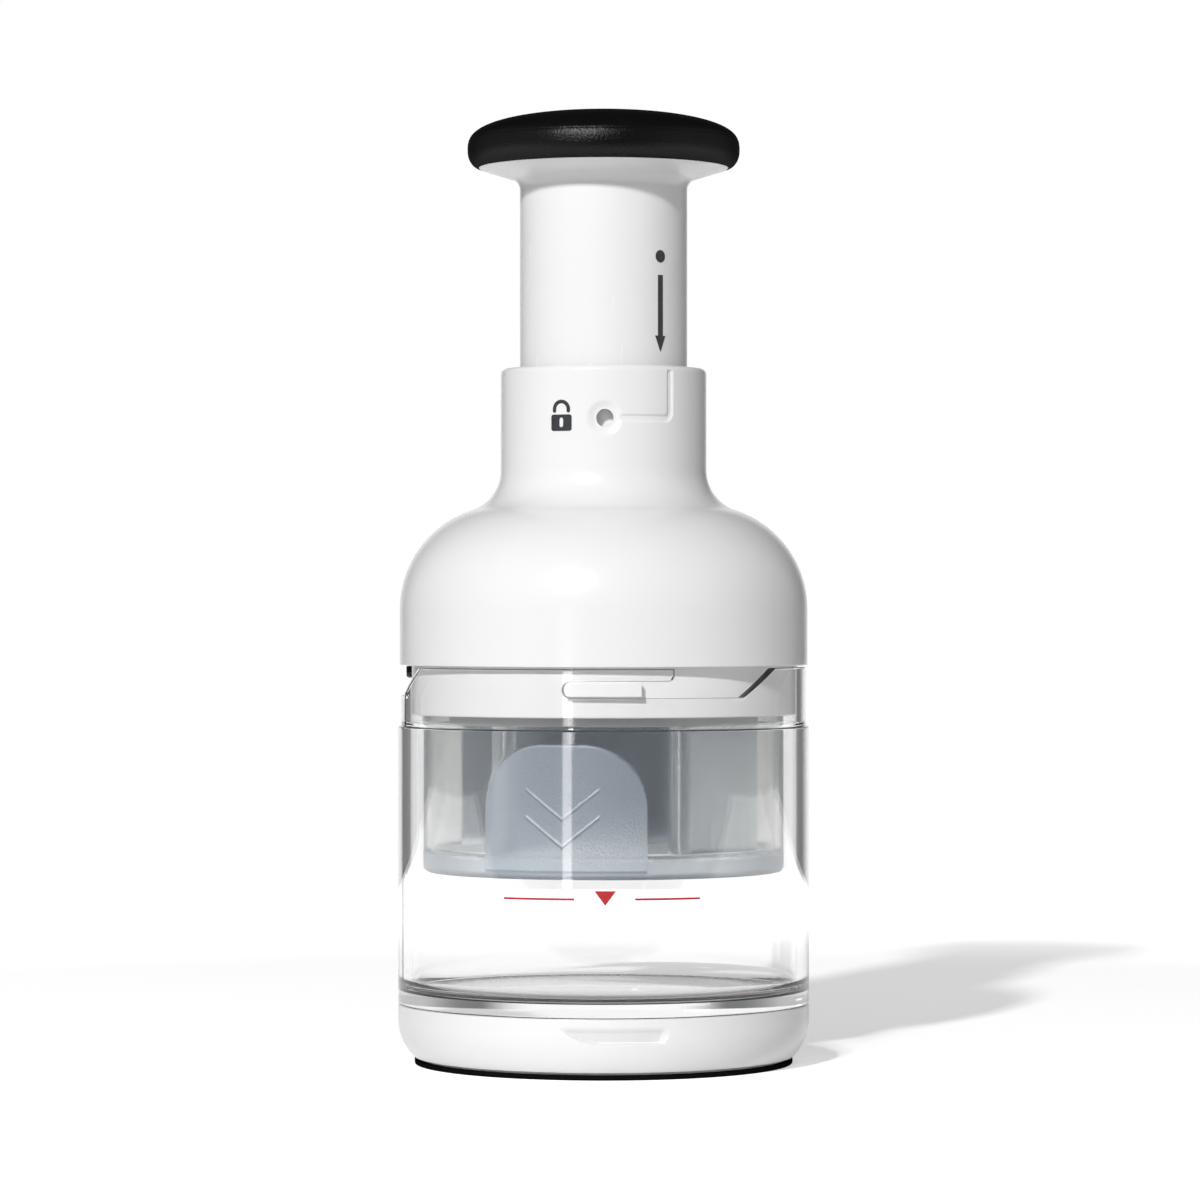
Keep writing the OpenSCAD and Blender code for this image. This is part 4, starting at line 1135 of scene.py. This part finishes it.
offset = np.array([-EDGE_T, EDGE_T, BLADE_T, BLADE_T, -BLADE_T, -BLADE_T]) / 2
blade_h = carrier_z + 0.1 - blade_z
section_z = np.array([0, 0, EDGE_H, blade_h, blade_h, EDGE_H])
off = offset - station[:, 2:3] * station[:, 3:4]
x = station[:, :1] - off * np.sin(station_heading)
y = -(station[:, 1:2] + off * np.cos(station_heading))
rest = math.radians(BLADE_REST_A)
strip = np.stack([x * math.cos(rest) - y * math.sin(rest), x * math.sin(rest) + y * math.cos(rest),
                  blade_z + 0 * x + section_z], -1)
rows, columns = strip.shape[:2]
end = np.array([[0, 1, 2, 5], [5, 2, 3, 4]])
strip_faces = np.concatenate([all_cells(rows, columns), end,
                              end[:, ::-1] + (rows - 1) * columns])
piece("blade", strip, strip_faces, "blade", "blade_steel", ["chopping_blade"], sharp=25)

HUB_R = 10.5
HUB_IN = 8
BORE_R = 3.3
DISC_H = 2.8
disc_top = carrier_z + DISC_H
carrier = joined([BORE_R, carrier_z], [carrier_r - 0.4, carrier_z],
                 arc(carrier_r - 0.4, carrier_z + 0.4, 0.4, -60, 0, 3),
                 arc(carrier_r - 0.4, disc_top - 0.4, 0.4, 0, 90, 4), [HUB_R + 0.6, disc_top],
                 [HUB_R, disc_top + 0.6], [HUB_R, carrier_top], [HUB_IN, carrier_top],
                 [HUB_IN, disc_top], [BORE_R, disc_top])
piece("blade_carrier", *turned(carrier), "blade", "inner_plastic", ["blade_carrier"])

# %% [markdown]
# ## The plunger
#
# The tube flares at its top into a flange, by a hollow arc and a slope. Two small keys near
# its lower end turn in the neck. The print on it is a dot, which shows in the lock window
# when the plunger is down, and an arrow.

# %% Plunger tube
TUBE_R = 20.9
TUBE_WALL = 2.2
FLANGE_FILLET = 3
FLANGE_SLOPE = 17.5
FLANGE_R = 31.2
FLANGE_H = 2.1
KEY_SPAN_A = 9
KEY_Z = 0.2
KEY_H = 4.2
KEY_T = 2.2
_, tube_z, tube_top = size("plunger_tube")
flange_z = tube_top - FLANGE_H
flare_end_a = 90 + FLANGE_SLOPE
flare_end = math.radians(flare_end_a)
flare_r = TUBE_R + FLANGE_FILLET
slope_w = FLANGE_R - flare_r - FLANGE_FILLET * math.cos(flare_end)
flare_z = (flange_z - slope_w * math.tan(math.radians(FLANGE_SLOPE))
           - FLANGE_FILLET * math.sin(flare_end))
tube_in = TUBE_R - TUBE_WALL
tube = joined([tube_in, tube_z + 0.3], [tube_in + 0.3, tube_z], [TUBE_R - 0.3, tube_z],
              [TUBE_R, tube_z + 0.3], arc(flare_r, flare_z, FLANGE_FILLET, 180, flare_end_a, 16),
              [FLANGE_R - 0.3, flange_z - 0.1], [FLANGE_R, flange_z + 0.2], [FLANGE_R, tube_top],
              [tube_in, tube_top])
key_half = np.radians(KEY_SPAN_A / 2) * TUBE_R
key = quad_grid(-key_half, key_half, tube_z + KEY_Z, tube_z + KEY_Z + KEY_H, columns=9)
keys = [plate(*key, TUBE_R, a, thick=KEY_T, sink=0.4) for a in (90, 270)]
piece("plunger_tube", *together(turned(tube), *keys), "plunger", "tube_plastic",
      ["plunger_tube"])

# %% Marks on the tube
STROKE = 40.2
MARK_A = 42
DOT_D = 3.1
ARROW_DROP = 4.6
ARROW_L = 19
ARROW_HEAD = (4, 3.4)
STEM_W = 1.6
dot_z = window_z + STROKE
arrow_top = dot_z - ARROW_DROP
tip_z = arrow_top - ARROW_L
stem = quad_grid(-STEM_W / 2, STEM_W / 2, tip_z + ARROW_HEAD[0], arrow_top, columns=5)
head = wedge(ARROW_HEAD[1], tip_z, tip_z + ARROW_HEAD[0], rows=5)
piece("travel_marks", *on([disc(DOT_D / 2, dot_z), stem, head], TUBE_R, MARK_A),
      "plunger", "mark_ink", ["travel_marks"])

# %% [markdown]
# ## The knob's cushion
#
# The cushion is rubber moulded over the flange. Below its widest line the edge is a quarter
# of an ellipse. Above it the crown is a softened disc: at a share q of the widest radius it
# stands crown height times the cube root of 1 - q squared, which is nearly flat in the middle
# and falls steeply at the edge. A shallow seam runs round just above the widest line, where
# the two halves of the mould met.

# %% Knob cushion
EDGE_DROP = 4.3
SEAM_RISE = 2.9
SEAM_DEPTH = 0.09
POCKET_R = 29.55
POCKET_TOP = 3.05
knob_r, _, crown_z = size("knob_cushion")
wide_z = flange_z + EDGE_DROP
crown_h = crown_z - wide_z
lip_r = FLANGE_R - 0.4
low_a = np.radians(np.linspace(-82, 0, 15))
below = np.stack([lip_r + (knob_r - lip_r) * np.cos(low_a),
                  wide_z + EDGE_DROP * np.sin(low_a)], 1)
share = 1 - np.linspace(0, 1, 72)[1:] ** 2
share[-1] = 0
above = np.stack([knob_r * share, wide_z + crown_h * np.cbrt(1 - share ** 2)], 1)
above = above[above[:, 1] > wide_z + 0.2]
seam_z = wide_z + SEAM_RISE + np.linspace(-0.4, 0.4, 13)
seam = np.stack([knob_r * np.sqrt(1 - ((seam_z - wide_z) / crown_h) ** 3), seam_z], 1)
above = above[np.abs(above[:, 1] - wide_z - SEAM_RISE) > 0.45]
above = np.concatenate([above, seam])
above = above[np.argsort(above[:, 1])]
above[:, 0] -= SEAM_DEPTH * np.exp(-((above[:, 1] - wide_z - SEAM_RISE) / 0.13) ** 2)
cushion = joined([0, tube_top + POCKET_TOP], [POCKET_R, tube_top + POCKET_TOP],
                 [POCKET_R, tube_top + 0.05], [FLANGE_R + 0.05, tube_top + 0.05], below, above)
piece("knob_cushion", *turned(cushion, closed=False), "plunger", "knob_rubber",
      ["knob_cushion"], sharp=50)

# %% [markdown]
# ## The springs
#
# Both springs are hidden at rest, but they show in the moving model. A spring is a circle
# swept along a helix whose height per turn is small at both ends, where the turns lie nearly
# flat, and wide between them.

# %% Springs
TURN_STEPS = 26
WIRE_SIDES = 10


def spring(node, wire, turns, body):
    """A helix of that many turns in a packed spring's box, the first and last turns close."""
    reach, low, high = size(node)
    t = np.linspace(0, turns, int(turns * TURN_STEPS) + 1)[:, None]
    r = wire / 2
    close = wire + 0.45
    z = np.interp(t, [0, 1, turns - 1, turns],
                  [low + r, low + r + close, high - r - close, high - r])
    around_wire = np.linspace(0, 2 * np.pi, WIRE_SIDES, endpoint=False)
    grid = around(360 * t, reach - r + r * np.cos(around_wire), z + r * np.sin(around_wire))
    rows = len(t)
    pairs = np.arange(WIRE_SIDES // 2 - 1)
    cap = np.stack([pairs, pairs + 1, WIRE_SIDES - 2 - pairs, WIRE_SIDES - 1 - pairs], 1)
    faces = np.concatenate([all_cells(rows, WIRE_SIDES), cap[:, ::-1],
                            cap + (rows - 1) * WIRE_SIDES])
    made = piece(node, grid, faces, body, "spring_steel", [node], sharp=60)
    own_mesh(made)


spring("return_spring", 1.3, 13, "head")
spring("index_spring", 0.8, 4, "plunger")

# %% [markdown]
# ## The pieces inside
#
# What the head and the knob hide keeps its imported shape and gets its finish: the table
# below lists the pieces of each material slot.

# %% Finishes of the imported pieces
kept = {
    "inner_plastic": ["guide_bush", "spring_plate", "knob_cap", "hub_cap"],
    "turned_steel": ["spring_seat", "top_spring_seat", "shaft", "cross_pin", "ratchet_wheel"],
    "acetal": ["shaft_bush", "thrust_washer", "pawl_ring"],
    "bumper_rubber": ["bumper"],
    "sleeve_alloy": ["drive_sleeve"],
}
for slot, nodes in kept.items():
    for node in nodes:
        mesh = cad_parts[node].data
        mesh.materials.clear()
        mesh.materials.append(finishes[slot])
print("packed pieces dressed:", sum(len(nodes) for nodes in kept.values()))

# %% [markdown]
# ## The studio
#
# The studio is a white table before a white backdrop, in a dim room, with one lamp high on
# the left, in front. The lamp's place is read from where the knob's shadow ends on the
# floor. Below it stands a weak, narrow strip light, which draws the upright streak on the
# guard.
#
# The camera sees the surround as pure white, directly or through clear plastic. A path that
# has bounced off something glossy sees white only in the backdrop's direction, a grey at
# both sides and the dim room elsewhere, which is what gives steel its dark panels and the
# edges of the clear pieces their thin dark lines. A path that has bounced off something dull
# gets a weak fill from the front. The floor glows a little for the eye alone, so that it is
# white where the lamp reaches it and keeps the shadow; far away, where the lamp is weak, it
# glows more.

# %% Floor, surround and lamp
FLOOR_SIDE = 1.7
FLOOR_FRONT = 0.42
FLOOR_BACK = 0.72
FLOOR_GLOW = 0.475
FAR_GLOW = 0.92
GLOW_FROM = 0.32
GLOW_TO = 0.56
LAMP_AZIMUTH = -19.8
FILL = 0.14
FILL_FRONT = 0.36
ROOM = 0.16
SIDE = 0.34
SIDE_BETWEEN = (0.2, 0.6)
BACKDROP_BETWEEN = (0.9, 0.98)

floor_finish = Finish("floor", Specular_IOR_Level=0.0)
x, y, _ = floor_finish.axes()
far_away = (x * x + y * y).between(GLOW_FROM ** 2, GLOW_TO ** 2)
seen = floor_finish.path("Is Camera Ray").larger(floor_finish.path("Is Glossy Ray"))
seen = seen.larger(floor_finish.path("Is Transmission Ray"))
cloud = floor_finish.noise(3)
floor_finish.feed(Base_Color=floor_finish.mix(cloud, (0.97, 0.97, 0.97, 1), (0.98, 0.98, 0.98, 1)),
                  Roughness=1.0, Emission_Strength=1.0,
                  Emission_Color=seen * (far_away * (FAR_GLOW - FLOOR_GLOW) + FLOOR_GLOW))
floor_mesh = bpy.data.meshes.new("floor")
floor_mesh.from_pydata([(-FLOOR_SIDE, -FLOOR_FRONT, 0), (FLOOR_SIDE, -FLOOR_FRONT, 0),
                        (FLOOR_SIDE, FLOOR_BACK, 0), (-FLOOR_SIDE, FLOOR_BACK, 0)],
                       [], [(0, 1, 2, 3)])
floor_mesh.materials.append(floor_finish.material)
floor = bpy.data.objects.new("floor", floor_mesh)
bpy.context.collection.objects.link(floor)

world = bpy.data.worlds.new("surround")
world.use_nodes = True
bpy.context.scene.world = world
surround = Formulas(world.node_tree)
x, y, _ = surround.parts(surround.node("ShaderNodeTexCoord", {}, out="Generated"))
has_glossed = surround.path("Glossy Depth").smaller(1)
has_dulled = surround.path("Diffuse Depth").smaller(1)
dim = (x * x).between(*SIDE_BETWEEN) * SIDE + ROOM
room = dim + y.between(*BACKDROP_BETWEEN) * (1 - dim)
fill = (FILL - y * FILL_FRONT).larger(0.0)
strength = (1 - has_glossed) + has_glossed * room
strength = (1 - has_dulled) * strength + has_dulled * fill
background = surround.tree.nodes["Background"]
background.inputs["Strength"].default_value = 1.0
surround.put(background.inputs["Color"], strength)


def lamp(name, width, height, power, distance, degrees_up, aim_z):
    """A rectangular lamp at that distance and height angle, which shines at the axis."""
    data = bpy.data.lights.new(name, "AREA")
    data.shape = "RECTANGLE"
    data.size = width
    data.size_y = height
    data.energy = power
    made = bpy.data.objects.new(name, data)
    bpy.context.collection.objects.link(made)
    azimuth = math.radians(LAMP_AZIMUTH)
    rise = math.radians(degrees_up)
    toward = Vector((math.sin(azimuth) * math.cos(rise), -math.cos(azimuth) * math.cos(rise),
                     math.sin(rise)))
    made.location = Vector((0, 0, aim_z)) + toward * distance
    made.rotation_euler = toward.to_track_quat("Z", "Y").to_euler()
    print(f"{name} at", [round(v, 3) for v in made.location])


lamp("key lamp", 0.12, 0.22, power=69, distance=3.0, degrees_up=30.1, aim_z=0.12)
lamp("strip light", 0.065, 0.1, power=0.085, distance=0.75, degrees_up=0, aim_z=0.05)
bpy.context.scene.view_settings.view_transform = "Standard"
